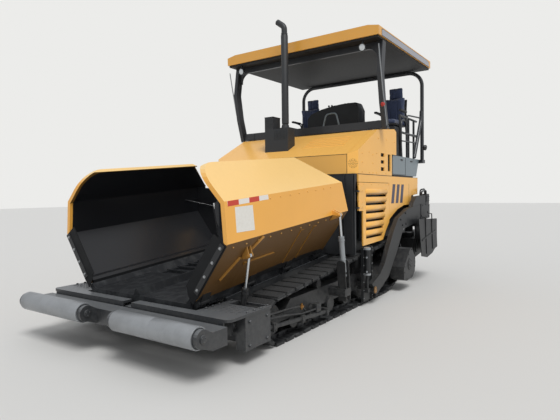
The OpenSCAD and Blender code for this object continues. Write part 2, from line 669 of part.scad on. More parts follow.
// Hood and upper boxes
hood_y = bulk_y - 12;
hood_line = [[hood_y, seam_z + eps], [hood_y, hood_fold_z + 15], [860, 2420], [1640, 2500]];
module hood() place() color("#e8a53a") {
  difference() {
    side_plate(-hood_half, hood_half) polygon(folded(hood_line, 0, -sheet_t));
    // Slotted grille on the slope
    for (i = [0:5]) side_plate(250, 900) polygon([
      [400 + i * 60, 1900], [424 + i * 60, 1900], [424 + i * 60, 2600], [400 + i * 60, 2600]]);
  }
  both_sides() side_plate(hood_half - 60, hood_half) polygon([hood_line[0], hood_line[0] + [60, 0],
    hood_line[1] + [60, -50], hood_line[1]]);
}
box_line = [[hood_y, seam_z + eps], [hood_y, hood_fold_z + 15], [860, 2420], [1540, box_top_z - 14],
  [1626, 2460], [1626, 2100], [box_back - 290, 2100], [box_back - 290, seam_z + eps]];
module upper_box() place() color("#e8a53a") difference() {
  side_plate(hood_half + 3, box_half + 30) polygon(box_line);
  side_plate(hood_half - 1, box_half + 12) polygon([[hood_y + 125, seam_z + 30], [hood_y + 125, 2060],
    [880, 2395], [1520, box_top_z - 40], [1600, 2440], [1600, 2125], [box_back - 315, 2125],
    [box_back - 315, seam_z + 30]]);
  translate([hood_half + 3, hood_y, 0]) rotate([0, 0, 42]) block([-1, -400, 1700], [400, 0, 2600]);
  for (z = [[2042, 2093], [1941, 1990], [1835, 1888]])
    block([box_half, 985, z[0]], [box_half + 40, 1120, z[1]]);
  block([box_half, 1262, 1838], [box_half + 40, 1372, 2091]);
}
module upper_box_left() upper_box();
module upper_box_right() mirror([1, 0, 0]) upper_box();

// Side panels with their doors
panel_x = [1200 + eps, body_half];
door_back = 1300;
door_hinges = [1310, 1530];
louvre_z = 890;
louvre_step = 114;
module side_panel() place() color("#e8a53a") {
  block([panel_x[0], panel_front + 8, 1662], [panel_x[1], panel_back + 6, seam_z - 6]);
  side_plate(panel_x[0], panel_x[1]) polygon([[door_back + 6, 1663], [door_back + 6, 1110],
    [1454, 1175], [1650, 1250], [1959, 1310], [2311, 1318], [2330, 1465], [panel_back, 1485],
    [panel_back, 1663]]);
}
module side_panel_left() side_panel();
module side_panel_right() mirror([1, 0, 0]) side_panel();
door_line = [[panel_front + 12, 1656], [panel_front + 12, 1279], [335, 1275], [335, 802],
  [1000, 823], [1050, 836], [1167, 962], [door_back, 1075], [door_back, 1656]];
door_pin = [body_half + 4, panel_front + 4];
module side_door() place() color("#e8a53a") {
  difference() {
    side_plate(panel_x[0], panel_x[1]) polygon(door_line);
    for (i = [0:louvre_n - 1]) {
      z = louvre_z + i * louvre_step;
      block([panel_x[0] - 1, 429, z], [panel_x[1] + 1, 1000 + i * 36, z + 100]);
    }
    for (z = door_hinges) block([panel_x[0] - 1, 150, z - 6], [panel_x[1] + 1, door_pin[1] + 17, z + 26]);
  }
  // Hinge knuckles around the pins
  for (z = door_hinges) translate([door_pin[0], door_pin[1], z + 20 + eps]) difference() {
    union() {
      cylinder(h = 76, r = 13, $fn = fine);
      translate([-12, 6, 6]) cube([16, 60, 70]);
    }
    translate([0, 0, -1]) cylinder(h = 78, r = 8 + pin_fit, $fn = fine);
  }
  for (i = [0:louvre_n - 1]) {
    z = louvre_z + i * louvre_step;
    side_plate(panel_x[1] - 12, panel_x[1] - 4)
      polygon([[428, z + 30], [1001 + i * 36, z + 30], [1001 + i * 36, z + 101], [428, z + 101]]);
  }
}
module side_door_left() side_door();
module side_door_right() mirror([1, 0, 0]) side_door();

// Operator platform
module platform() place() color("#3a3d40") {
  block([-1155, 1640, floor_z - 20], [1155, 2820, floor_z]);
  block([-1155, 1640, seam_z + eps], [1155, 1656, floor_z - 19]);
  block([-1155, 2600, seam_z + eps], [1155, 2616, floor_z - 19]);
  both_sides() {
    block([1139, 1640, seam_z + eps], [1155, 2616, floor_z - 19]);
    block([seat_x - 180, 2050, floor_z - 1], [seat_x + 180, 2420, seat_z - 130 - eps]);
    block([1000, 2800, floor_z - 60], [hoop_half + 40, hoop_y + 40, floor_z]);
  }
}
seat_x = 850;
seat_z = 2750;
module platform_sides() place() color("#7a858a") both_sides()
  side_plate(1155 + eps, 1205) polygon([[1500, 1792], [2640, 1792], [2790, floor_z], [1500, floor_z]]);
module console() place() color("#232527") {
  block([-450, 1860, floor_z + eps], [450, 2040, 2620]);
  front_plate(1800, 2080) polygon([[-510, 2600], [510, 2600], [510, 2880], [420, 2990], [200, 3000],
    [0, 3040], [-220, 3000], [-430, 2960], [-510, 2860]]);
}
module seat() place() color("#1f2a48") translate([seat_x, 0, 0]) {
  block([-240, 1990, seat_z - 130], [240, 2490, seat_z]);
  side_plate(-230, 230) polygon([[2460, seat_z - 100], [2600, seat_z - 100], [2700, 3180], [2590, 3190]]);
  side_plate(-130, 130) polygon([[2585, 3180], [2695, 3170], [2690, 3380], [2600, 3380]]);
}
module seat_left() seat();
module seat_right() mirror([1, 0, 0]) seat();

module handrails() place() color("#2b2d2f") both_sides() {
  for (z = [2520, 2790]) shaft_y(2060, 2930, 1115, z, 19);
  for (y = [2075, 2500, 2780]) translate([1115, y, floor_z + eps]) cylinder(h = 2790 - floor_z, r = 19, $fn = 24);
}

// Canopy frame
post_t = 60;
post_w = 120;
portal_line = [[post_y, 2440], [post_y - 110, 2800], [post_y - 180, 3200], [post_y - 105, lining_z(850) + 12]];

module front_portal() place() color("#34373a") {
  block([-post_x, 940, 2445], [post_x, 1020, 2560]);
  both_sides() {
    block([1120, 930, 2439.5], [1330, 1030, 2462]);
    difference() {
      side_plate(post_x - post_t / 2, post_x + post_t / 2) polygon(folded(portal_line, -post_w / 2, post_w / 2));
      on_roof() block([0, 0, -30 - eps], [roof_half, 600, 60]);
    }
  }
  // Arched cross member under the front of the roof
  front_plate(840, 880) polygon(concat([[-post_x, lining_z(840) - eps], [-post_x, 3400], [-post_x + 60, 3400]],
    arc([-1080, 3420], 150, 180, 90, 6), arc([1080, 3420], 150, 90, 0, 6),
    [[post_x - 60, 3400], [post_x, 3400], [post_x, lining_z(840) - eps]]));
}
module rear_hoop() place() color("#34373a") translate([0, hoop_y, 0]) rotate([90, 0, 0])
  bent_tube([[-hoop_half, floor_z + eps], [-hoop_half, hoop_top], [hoop_half, hoop_top],
    [hoop_half, floor_z + eps]], hoop_r, 250);
hoop_top = lining_z(hoop_y - hoop_r) - hoop_r - eps;

module on_roof() translate([0, roof_front, roof_z]) rotate([roof_tilt, 0, 0]) children();
module canopy_roof() place() color("#e8a53a") on_roof() {
  difference() {
    front_plate(0, roof_l) polygon([[-roof_half, 0], [-roof_half, rim_h], [-roof_half + 160, rim_h + 30],
      [roof_half - 160, rim_h + 30], [roof_half, rim_h], [roof_half, 0]]);
    front_plate(20, roof_l - 20) polygon([[-roof_half + 20, -1], [-roof_half + 20, rim_h - 16],
      [-roof_half + 166, rim_h + 12], [roof_half - 166, rim_h + 12], [roof_half - 20, rim_h - 16],
      [roof_half - 20, -1]]);
  }
}
module canopy_lining() place() color("#1f2123") on_roof() {
  difference() {
    block([-roof_half + 20 + eps, 20 + eps, -30], [roof_half - 20 - eps, roof_l - 20 - eps, 80]);
    block([-roof_half + 60, 60, -12], [roof_half - 60, roof_l - 60, 91]);
  }
}

module exhaust() place() color("#2b2d2f") translate([0, exhaust_y, 0]) rotate([90, 0, 0])
  bent_tube([[exhaust_x, 2492 + eps], [exhaust_x, exhaust_top - 90], [exhaust_x - 120, exhaust_top]],
    exhaust_r, 90);
function hood_at(y) = hood_line[1][1] + (hood_line[2][1] - hood_line[1][1]) *
  (y - hood_line[1][0]) / (hood_line[2][0] - hood_line[1][0]);
module intake_box() place() color("#1f2123") {
  side_plate(-385, 32) polygon([[330, hood_at(330) + 0.4], [520, hood_at(520) + 0.4], [520, 2492], [330, 2492]]);
  block([-385, 330, 2491], [-230, 520, 2680]);
}

// Tow points
tow_back = 1225;
tow_plate = 1243;
module tow_guides() place() color("#2b2d2f") both_sides() {
  block([tow_back, 240, 60], [tow_plate, 530, 790]);
  for (y = [240, 516]) block([tow_plate - 1, y, 60], [1262, y + 14, 790]);
  difference() {
    union() {
      translate([1290, 300, 420]) cylinder(h = 365, r = 42, $fn = fine);
      for (z = [440, 700]) block([tow_plate - 1, 268, z], [1290, 332, z + 60]);
    }
    translate([1290, 300, 400]) cylinder(h = 350, r = 18 + pin_fit, $fn = fine);
  }
}
module tow_blocks() place() color("#3a3d40") both_sides() {
  block([tow_plate + 6, 260, tow_z - 60], [1262, 510, tow_z + 60]);
  block([1261, 262, tow_z - 15], [1316, 338, tow_z + 35]);
  translate([1290, 300, tow_z + 34]) cylinder(h = 320, r = 18, $fn = fine);
  shaft_x(1261, arm_x + arm_t + 14, tow_y, tow_z, 30);
  shaft_x(arm_x + arm_t + 6, arm_x + arm_t + 14, tow_y, tow_z, 46);
}
arm_line = [[359, 294], [642, 386], [823, 516], [969, 707], [1167, 939], [1377, 1126], [1824, 1258],
  [2723, 1336], [3000, 1300], [3000, 1060], [2448, 1024], [2179, 1006], [1590, 947], [1320, 634],
  [965, 302], [509, 124]];
module tow_arms() place() color("#34373a") both_sides() {
  difference() {
    side_plate(arm_x, arm_x + arm_t) polygon(arm_line);
    shaft_x(arm_x - 1, arm_x + arm_t + 1, tow_y, tow_z, 30 + pin_fit);
  }
}

// Screed, drawn level and then tilted about its front lower edge
module on_screed() translate([0, screed_front, sole_z]) rotate([screed_tilt, 0, 0]) children();
screed_h = 330;
main_half = 1255;
ext_back = 760;
tube_at = [620, 450];
function screed_point(p) = [screed_front, sole_z] + [p[0] * cos(screed_tilt) - p[1] * sin(screed_tilt),
  p[0] * sin(screed_tilt) + p[1] * cos(screed_tilt)];
// Rear edge of the walkway, from the overall length
walk_end = (rear_reach - screed_front + 199 * sin(screed_tilt)) / cos(screed_tilt);
lift_x = 1080;
lift_eye = [2470, 790];
lift_top = [2250, 1450];
lift_barrel_l = 500;
lift_rod_l = 540;
module screed() place() color("#2b2d2f") {
  on_screed() {
    block([-main_half, 0, 0], [main_half, screed_d, screed_h]);
    both_sides() {
      // Brackets up to the tow arms
      block([main_half - 1, 60, 80], [arm_x - eps, 440, 860]);
      // Bearings of the extension tubes
      difference() {
        block([150, screed_d - 200, screed_h - 1], [420, tube_at[0] + 60, tube_at[1] + 60]);
        block([149, screed_d + 10, screed_h - 2], [421, tube_at[0] + 61, tube_at[1] - 60]);
        shaft_x(149, 421, tube_at[0], tube_at[1], 40 + pin_fit);
      }
      block([-1, screed_d - 1, 60], [50, walk_end - 40, 200]);
      block([-1, ext_back + 20, 199], [1150, walk_end, 224]);
    }
  }
  both_sides() for (s = [-1, 1]) {
    x = lift_x + s * (lug_in + lug_t / 2);
    side_plate(x - lug_t / 2, x + lug_t / 2) polygon(concat([lift_eye - [45, 95], lift_eye + [45, -85]],
      arc(lift_eye, eye_r, 0, 180, 8)));
    shaft_x(min(x, x + s * 14), max(x, x + s * 14), lift_eye[0], lift_eye[1], pin_r);
  }
}
module screed_ext() place() color("#34373a") on_screed() {
  block([60, screed_d + 14, 20], [1430, ext_back, 300]);
  side_plate(1428, screed_half) polygon([[-190, 82], [100, -10], [400, -10], [700, 58], [767, 538], [-270, 725]]);
  shaft_x(100, 1429, tube_at[0], tube_at[1], 40);
  block([1400, 540, 299], [1429, 700, 520]);
}
module screed_ext_left() screed_ext();
module screed_ext_right() mirror([1, 0, 0]) screed_ext();

// Screed lift cylinders
lift_angle = atan2(lift_eye[0] - lift_top[0], lift_top[1] - lift_eye[1]);
module lift_barrel() place() color("#2e3133") translate([lift_x, lift_top[0], lift_top[1]])
  rotate([lift_angle, 0, 0]) rotate([0, 0, 90]) mirror([0, 0, 1]) barrel_shape(38, 20, lift_barrel_l);
module lift_rod() place() color("#c9cccf") translate([lift_x, lift_eye[0], lift_eye[1]])
  rotate([lift_angle, 0, 0]) rotate([0, 0, 90]) mirror([0, 0, 1]) rod_shape(20, lift_rod_l);
module lift_barrel_left() lift_barrel();
module lift_barrel_right() mirror([1, 0, 0]) lift_barrel();
module lift_rod_left() lift_rod();
module lift_rod_right() mirror([1, 0, 0]) lift_rod();

// Augers
module auger() place() color("#45484b") {
  difference() {
    shaft_x(60, 1200, auger_y, auger_z, 45);
    shaft_x(59, 112, auger_y, auger_z, 30 + pin_fit);
  }
  translate([120, auger_y, auger_z]) rotate([0, 90, 0])
    linear_extrude(height = 1070, twist = -1080, slices = 42, segments = 4)
      translate([45.4, -8]) square([auger_r - 45.4, 16]);
}
module auger_left() auger();
module auger_right() mirror([1, 0, 0]) auger();
module auger_beam() place() color("#2b2d2f") {
  block([-chassis_x[0] + eps, auger_y - 50, 790], [chassis_x[0] - eps, auger_y + 50, 880]);
  block([-54, auger_y - 80, auger_z - 70], [54, auger_y + 80, 791]);
  shaft_x(-110, 110, auger_y, auger_z, 30);
}

chassis();
front_frame();
push_beam();
push_roller_left();
push_roller_right();
track_left();
track_right();
track_frame_left();
track_frame_right();
hopper_floor();
conveyor();
cylinder_post_left();
cylinder_post_right();
wing_left();
wing_right();
wing_liner_left();
wing_liner_right();
front_barrel_left();
front_barrel_right();
front_rod_left();
front_rod_right();
rear_barrel_left();
rear_barrel_right();
rear_rod_left();
rear_rod_right();
bulkhead();
engine();
hood();
upper_box_left();
upper_box_right();
side_panel_left();
side_panel_right();
side_door_left();
side_door_right();
platform();
platform_sides();
console();
seat_left();
seat_right();
handrails();
front_portal();
rear_hoop();
canopy_roof();
canopy_lining();
exhaust();
intake_box();
tow_guides();
tow_blocks();
tow_arms();
screed();
screed_ext_left();
screed_ext_right();
lift_barrel_left();
lift_barrel_right();
lift_rod_left();
lift_rod_right();
auger_left();
auger_right();
auger_beam();
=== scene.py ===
from math import acos, asin, atan2, copysign, cos, exp, hypot, pi, radians, sin, tau
import bmesh
import bpy
from mathutils import Matrix, Vector, noise


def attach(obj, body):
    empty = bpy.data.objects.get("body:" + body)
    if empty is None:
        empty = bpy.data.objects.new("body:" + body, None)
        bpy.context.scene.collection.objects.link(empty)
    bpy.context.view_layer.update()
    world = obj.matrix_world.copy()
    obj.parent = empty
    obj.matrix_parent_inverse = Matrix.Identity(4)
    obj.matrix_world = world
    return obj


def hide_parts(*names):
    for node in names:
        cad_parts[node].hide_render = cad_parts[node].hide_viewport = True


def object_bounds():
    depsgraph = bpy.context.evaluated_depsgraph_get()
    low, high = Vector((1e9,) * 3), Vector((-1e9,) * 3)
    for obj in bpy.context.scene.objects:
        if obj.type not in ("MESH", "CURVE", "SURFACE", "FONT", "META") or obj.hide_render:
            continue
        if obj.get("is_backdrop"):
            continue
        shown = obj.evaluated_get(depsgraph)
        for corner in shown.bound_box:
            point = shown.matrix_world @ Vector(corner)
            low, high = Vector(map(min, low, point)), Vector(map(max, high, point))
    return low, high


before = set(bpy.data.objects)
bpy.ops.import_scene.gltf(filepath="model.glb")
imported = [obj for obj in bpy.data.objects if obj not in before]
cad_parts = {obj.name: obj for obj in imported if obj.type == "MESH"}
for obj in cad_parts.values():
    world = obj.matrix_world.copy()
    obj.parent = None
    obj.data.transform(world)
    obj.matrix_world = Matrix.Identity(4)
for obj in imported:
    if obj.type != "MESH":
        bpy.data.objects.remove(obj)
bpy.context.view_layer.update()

# Camera
# A wide lens close to the ground, off the machine's left front corner, solved from the lines of the machine itself.
eye = Vector((3.768, -5.741, 1.516))
to_right = Vector((0.8290, 0.5592, -0.0122)).normalized()
to_back = -Vector((-0.5593, 0.8283, -0.0347)).normalized()
to_top = to_back.cross(to_right)
camera = bpy.data.objects.new("camera", bpy.data.cameras.new("camera"))
bpy.context.scene.collection.objects.link(camera)
camera.matrix_world = Matrix.Translation(eye) @ Matrix((to_right, to_top, to_back)).transposed().to_4x4()
camera.data.lens = 29.74
camera.data.sensor_width = 36
camera.data.clip_end = 200
bpy.context.scene.camera = camera
bpy.context.scene.view_settings.view_transform = "Standard"


# Studio
# A pale floor and sky, one wide soft lamp high at the left front, as an overcast noon lights a yard.
def srgb(colour):
    """Linear colour of an sRGB hex value such as #E8A845."""
    parts = [int(colour[i:i + 2], 16) / 255 for i in (1, 3, 5)]
    return tuple(p / 12.92 if p <= 0.04045 else ((p + 0.055) / 1.055) ** 2.4 for p in parts) + (1,)


def add_node(tree, kind, settings=None, links=None):
    """Adds a node, sets its fields and sockets, and links its inputs from outputs or from nodes' first outputs."""
    node = tree.nodes.new(kind)
    for key, value in (settings or {}).items():
        if isinstance(key, int) or key in node.inputs:
            node.inputs[key].default_value = value
        else:
            setattr(node, key, value)
    for key, source in (links or {}).items():
        tree.links.new(source.outputs[0] if isinstance(source, bpy.types.Node) else source, node.inputs[key])
    return node


def bare_material(name):
    """A material, its empty node tree, and the object's own coordinates in metres."""
    material = bpy.data.materials.new(name)
    material.use_nodes = True
    tree = material.node_tree
    tree.nodes.clear()
    return material, tree, add_node(tree, "ShaderNodeTexCoord").outputs["Object"]


floor_paint, tree, _ = bare_material("studio_floor")
clouds = add_node(tree, "ShaderNodeTexNoise", {"Scale": 0.6, "Detail": 4.0})
shade = add_node(tree, "ShaderNodeMixRGB", {"Color1": srgb("#CFCECB"), "Color2": srgb("#D6D5D2")}, {"Fac": clouds})
shader = add_node(tree, "ShaderNodeBsdfPrincipled", {"Roughness": 0.8}, {"Base Color": shade})
add_node(tree, "ShaderNodeOutputMaterial", {}, {"Surface": shader})
ground = bmesh.new()
bmesh.ops.create_grid(ground, x_segments=1, y_segments=1, size=60)
ground_mesh = bpy.data.meshes.new("floor")
ground.to_mesh(ground_mesh)
floor = bpy.data.objects.new("floor", ground_mesh)
floor.data.materials.append(floor_paint)
bpy.context.scene.collection.objects.link(floor)
floor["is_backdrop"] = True

sky = bpy.data.worlds.new("sky")
bpy.context.scene.world = sky
sky.use_nodes = True
tree = sky.node_tree
tree.nodes.clear()
ray = add_node(tree, "ShaderNodeLightPath")
seen = add_node(tree, "ShaderNodeMath", {"operation": "MAXIMUM"},
                {0: ray.outputs["Is Camera Ray"], 1: ray.outputs["Is Transmission Ray"]})
lit = add_node(tree, "ShaderNodeBackground", {"Color": srgb("#F2F4F7"), "Strength": 0.62})
shown = add_node(tree, "ShaderNodeBackground", {"Color": srgb("#ECECEA"), "Strength": 1.0})
choice = add_node(tree, "ShaderNodeMixShader", {}, {0: seen, 1: lit, 2: shown})
add_node(tree, "ShaderNodeOutputWorld", {}, {"Surface": choice})

noon = bpy.data.lights.new("noon", "SUN")
noon.energy = 1.9
noon.angle = radians(25)
noon_lamp = bpy.data.objects.new("noon", noon)
bpy.context.scene.collection.objects.link(noon_lamp)
noon_lamp.rotation_euler = Vector((0.62, -0.42, 1.15)).to_track_quat("Z", "Y").to_euler()

# Chassis and front frame
# Welded plate, blasted and sprayed with a satin dark grey two-pack enamel, bolted where parts come off for service.
# Sizes here and below are in millimetres, with Y measured from the datum plane behind the hopper.
datum = Vector((0, -307, 0))
outward, upward, forward = (1, 0, 0), (0, 0, 1), (0, -1, 0)
deck_top = 478


def painted_steel(name, colour, dust, shine=0.4, coat=0.25, grain=0.004, dust_top=0.9, soiling=0.16, under=0.0,
                  pale_wear_and_painted_highlight=0.0, highlight_tint="#FFF2B8"):
    """Sprayed enamel with a fine orange peel and faint clouds, dusty low down; lighter on top as a painted highlight,
    darker underneath as painted shade.
    """
    material, tree, place = bare_material(name)
    cloud = add_node(tree, "ShaderNodeTexNoise", {"Scale": 1.7, "Detail": 3.0}, {"Vector": place})
    fade = add_node(tree, "ShaderNodeMapRange", {1: 0.35, 2: 0.75, 3: 0.0, 4: 0.12}, {0: cloud})
    deep = tuple(c * 0.55 for c in srgb(colour)[:3]) + (1,)
    tone = add_node(tree, "ShaderNodeMixRGB", {"Color1": srgb(colour), "Color2": deep}, {"Fac": fade})
    # Dust, thick to 0.3 m above the ground and gone by dust_top, and a little on what lies flat
    height = add_node(tree, "ShaderNodeSeparateXYZ", {}, {0: place})
    low = add_node(tree, "ShaderNodeMapRange", {1: 0.3, 2: dust_top, 3: soiling, 4: 0.0}, {0: height.outputs["Z"]})
    facing = add_node(tree, "ShaderNodeNewGeometry")
    up = add_node(tree, "ShaderNodeSeparateXYZ", {}, {0: facing.outputs["Normal"]}).outputs["Z"]
    lying = add_node(tree, "ShaderNodeMapRange", {1: 0.55, 2: 1.0, 3: 0.0, 4: 0.1}, {0: up})
    both = add_node(tree, "ShaderNodeMath", {"operation": "ADD"}, {0: low, 1: lying})
    speck = add_node(tree, "ShaderNodeTexNoise", {"Scale": 22.0, "Detail": 6.0, "Roughness": 0.7}, {"Vector": place})
    spots = add_node(tree, "ShaderNodeMapRange", {1: 0.38, 2: 0.7, 3: 0.0, 4: 1.0}, {0: speck})
    amount = add_node(tree, "ShaderNodeMath", {"operation": "MULTIPLY", "use_clamp": True}, {0: both, 1: spots})
    # Painted highlight towards the highlight tint on what faces up, painted shade in dark brown on what faces down,
    # then the dust over both
    pale = add_node(tree, "ShaderNodeMapRange", {1: 0.3, 2: 0.8, 3: 0.0, 4: pale_wear_and_painted_highlight}, {0: up})
    below = add_node(tree, "ShaderNodeMapRange", {1: -0.15, 2: -0.5, 3: 0.0, 4: under}, {0: up})
    for shade, share in ((highlight_tint, pale), ("#2A1A0C", below), (dust, amount)):
        tone = add_node(tree, "ShaderNodeMixRGB", {"Color2": srgb(shade)}, {"Fac": share, "Color1": tone})
    rough = add_node(tree, "ShaderNodeMapRange", {1: 0.0, 2: 0.6, 3: shine, 4: 0.85}, {0: amount})
    peel = add_node(tree, "ShaderNodeTexNoise", {"Scale": 1 / grain, "Detail": 1.0}, {"Vector": place})
    bump = add_node(tree, "ShaderNodeBump", {"Strength": 0.06, "Distance": 0.0006}, {"Height": peel})
    shader = add_node(tree, "ShaderNodeBsdfPrincipled", {"IOR": 1.5, "Coat Weight": coat, "Coat Roughness": 0.18},
                      {"Base Color": tone, "Roughness": rough, "Normal": bump})
    add_node(tree, "ShaderNodeOutputMaterial", {}, {"Surface": shader})
    return material


def paint_nodes(material, *names):
    for name in names:
        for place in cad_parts[name].material_slots:
            place.material = material


def add_box(bm, low, high, edge=0.0, turn=None):
    """A box with rounded edges; turn is a matrix about its own middle."""
    low, high = Vector(low), Vector(high)
    made = bmesh.ops.create_cube(bm, size=1)["verts"]
    bmesh.ops.scale(bm, vec=high - low, verts=made)
    if edge:
        lines = list({e for v in made for e in v.link_edges})
        faces = bmesh.ops.bevel(bm, geom=lines, offset=edge, segments=2, profile=0.7, affect="EDGES")["faces"]
        made = list({v for f in faces for v in f.verts})
    if turn is not None:
        bmesh.ops.transform(bm, matrix=turn, verts=made)
    bmesh.ops.translate(bm, vec=(low + high) / 2, verts=made)


def add_skin(bm, outlines, ring=False):
    """Walls from each outline to the next, and a face over both ends; a ring runs on to its first outline instead."""
    rings = [[bm.verts.new(spot) for spot in outline] for outline in outlines]
    for one, two in zip(rings, rings[1:] + rings[:1] if ring else rings[1:]):
        for i in range(len(one)):
            j = (i + 1) % len(one)
            bm.faces.new((one[i], one[j], two[j], two[i]))
    if not ring:
        bm.faces.new(rings[0][::-1])
        bm.faces.new(rings[-1])


def around(side, other, count):
    """Directions evenly round the circle that side and other span."""
    return [side * cos(a) + other * sin(a) for a in [tau * i / count for i in range(count)]]


def add_turned(bm, profile, start, axis, steps=32, ring=False):
    """A turned part: (distance along the axis, radius) pairs spun about it."""
    axis = Vector(axis).normalized()
    side = axis.orthogonal().normalized()
    ways = around(side, axis.cross(side), steps)
    add_skin(bm, [[Vector(start) + axis * along + way * max(radius, 0.01) for way in ways]
                  for along, radius in profile], ring)


def add_tube(bm, points, radius, sides=12):
    """A round bar or tube through points, with its ends closed."""
    points = [Vector(p) for p in points]
    rings, side = [], None
    for i, point in enumerate(points):
        ahead = (points[min(i + 1, len(points) - 1)] - points[max(i - 1, 0)]).normalized()
        side = (ahead.orthogonal() if side is None else side - ahead * side.dot(ahead)).normalized()
        rings.append([point + way * radius for way in around(side, ahead.cross(side), sides)])
    add_skin(bm, rings)


def rounded(points, radius, steps=6):
    """The same line with its corners turned into arcs."""
    points = [Vector(p) for p in points]
    line = [points[0]]
    for a, b, c in zip(points, points[1:], points[2:]):
        cut = min(radius, (b - a).length * 0.49, (c - b).length * 0.49)
        p, q = b + (a - b).normalized() * cut, b + (c - b).normalized() * cut
        line += [p.lerp(b, t).lerp(b.lerp(q, t), t) for t in [i / steps for i in range(steps + 1)]]
    return line + [points[-1]]


def add_bolts(bm, spots, axis, size=11):
    """Hexagon heads on washers, standing on each spot along axis."""
    for spot in spots:
        add_turned(bm, [(-1, size * 1.25), (size * 0.25, size * 1.25)], spot, axis, 14)
        add_turned(bm, [(0, size), (size * 0.75, size), (size * 0.95, size * 0.8)], spot, axis, 6)


def bolt_circle(x, d, z, radius, angles):
    """Places on a circle that faces sideways."""
    return [(x, d + radius * cos(a), z + radius * sin(a)) for a in angles]


def piece(name, bm, material, body="machine", smooth=35):
    """Turns millimetres behind the datum plane into the frame's metres, and lets the piece ride."""
    bmesh.ops.recalc_face_normals(bm, faces=bm.faces)
    mesh = bpy.data.meshes.new(name)
    bm.to_mesh(mesh)
    bm.free()
    mesh.transform(Matrix.Translation(datum / 1000) @ Matrix.Scale(0.001, 4))
    mesh.polygons.foreach_set("use_smooth", [True] * len(mesh.polygons))
    mesh.set_sharp_from_angle(angle=radians(smooth))
    mesh.materials.append(material)
    thing = bpy.data.objects.new(name, mesh)
    bpy.context.scene.collection.objects.link(thing)
    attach(thing, body)
    return thing


def pair(name, draw, material, body="machine", replaced="", smooth=35):
    """The same piece on the left and, mirrored, on the right; SIDE stands for the side in body and replaced."""
    made = []
    for side in ("left", "right"):
        bm = bmesh.new()
        draw(bm)
        if side == "right":
            bmesh.ops.scale(bm, vec=(-1, 1, 1), verts=bm.verts)
        thing = piece(f"{name}_{side}", bm, material, body.replace("SIDE", side), smooth)
        if replaced:
            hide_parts(replaced.replace("SIDE", side))
        made.append(thing)
    return made


road_dust = "#85847F"
# The grey is paler on what faces up: a painted highlight.
frame_grey = painted_steel("dark_grey_enamel_on_plate", "#2B2D30", road_dust, pale_wear_and_painted_highlight=0.22, highlight_tint="#B0B4B8")
paint_nodes(frame_grey, "chassis", "front_frame", "push_beam", "auger_beam")

# Zinc plating is a dull, faintly blotched silver
zinc, tree, _ = bare_material("zinc_plated_bolts")
wash = add_node(tree, "ShaderNodeTexNoise", {"Scale": 60.0, "Detail": 3.0})
tone = add_node(tree, "ShaderNodeMixRGB", {"Color1": srgb("#C4C6C8"), "Color2": srgb("#8E9090")}, {"Fac": wash})
shader = add_node(tree, "ShaderNodeBsdfPrincipled", {"Metallic": 0.9, "Roughness": 0.45}, {"Base Color": tone})
add_node(tree, "ShaderNodeOutputMaterial", {}, {"Surface": shader})


def deck_bolts(bm):
    add_bolts(bm, [(1275, d, deck_top) for d in (-2270, -2170, -2070, -1970)], upward, 13)
    add_bolts(bm, [(850, d, deck_top) for d in (-2340, -2250, -2160, -1975)], upward, 13)
    add_bolts(bm, [(x, -2384, z) for x in (300, 520, 740, 900, 1100) for z in (320, 412)], forward, 12)
    add_bolts(bm, [(1290, d, z) for d in (-2260, -2000) for z in (190, 400)], outward, 14)


def add_treads(bm, places, half, low, high):
    """Raised bars of anti-slip plate, turned half a right angle to one side and the other by turns."""
    for row, column, x, d in places:
        slant = Matrix.Rotation(radians(45 if (row + column) % 2 else -45), 4, "Z")
        add_box(bm, (x - half, d - 4, low), (x + half, d + 4, high), 0, slant)


def deck_treads(bm):
    add_treads(bm, [(row, column, 970 + column * 60, -2341 + row * 40) for row in range(6) for column in range(5)],
               15, deck_top - 0.5, deck_top + 3)


pair("deck_bolts", deck_bolts, frame_grey)
pair("deck_treads", deck_treads, frame_grey)

# Push beam and push rollers
# Two smooth tubes with welded end discs on a swinging beam; trucks' wheels keep them bright, the beam is painted.
roller_d, roller_z, tube_length, tube_r = -2851, 402, 1004, 95

# Bare steel turned on a lathe and rubbed by tyres: soft sheen, fine rings across the axis, dull dust in patches
roller_steel, tree, place = bare_material("turned_roller_steel")
squeeze = add_node(tree, "ShaderNodeMapping", {"Scale": (1.0, 0.02, 0.02)}, {"Vector": place})
# Rings 4 mm apart, coarser than a real lathe's, so that they show
rings = add_node(tree, "ShaderNodeTexNoise", {"Scale": 250.0, "Detail": 2.0}, {"Vector": squeeze})
grime = add_node(tree, "ShaderNodeTexNoise", {"Scale": 6.0, "Detail": 5.0, "Roughness": 0.65}, {"Vector": place})
patch = add_node(tree, "ShaderNodeMapRange", {1: 0.42, 2: 0.68, 3: 0.0, 4: 0.2}, {0: grime})
tone = add_node(tree, "ShaderNodeMixRGB", {"Color1": srgb("#989B9E"), "Color2": srgb("#5E5D5B")}, {"Fac": patch})
rough = add_node(tree, "ShaderNodeMapRange", {1: 0.0, 2: 1.0, 3: 0.26, 4: 0.5}, {0: grime})
bump = add_node(tree, "ShaderNodeBump", {"Strength": 0.12, "Distance": 0.0008}, {"Height": rings})
shader = add_node(tree, "ShaderNodeBsdfPrincipled", {"Metallic": 0.35},
                  {"Base Color": tone, "Roughness": rough, "Normal": bump})
add_node(tree, "ShaderNodeOutputMaterial", {}, {"Surface": shader})


def push_roller(bm):
    """Shaft, dished end, tube with the weld round its middle, dished end and shaft."""
    near = [(-44, 20), (-44, 25), (0, 25), (6, 25), (6, 34), (20, 40), (22, 78), (6, 84), (6, 93), (9, tube_r)]
    seam = [(tube_length / 2 + along, r) for along, r in ((-3, tube_r), (-1, 94.2), (1, 94.2), (3, tube_r))]
    far = [(-3, tube_r), (0, 93), (0, 84), (-16, 78), (-14, 40), (0, 34), (0, 25), (44, 25), (44, 20)]
    add_turned(bm, near + seam + [(tube_length + along, r) for along, r in far], (246, roller_d, roller_z), outward, 56)


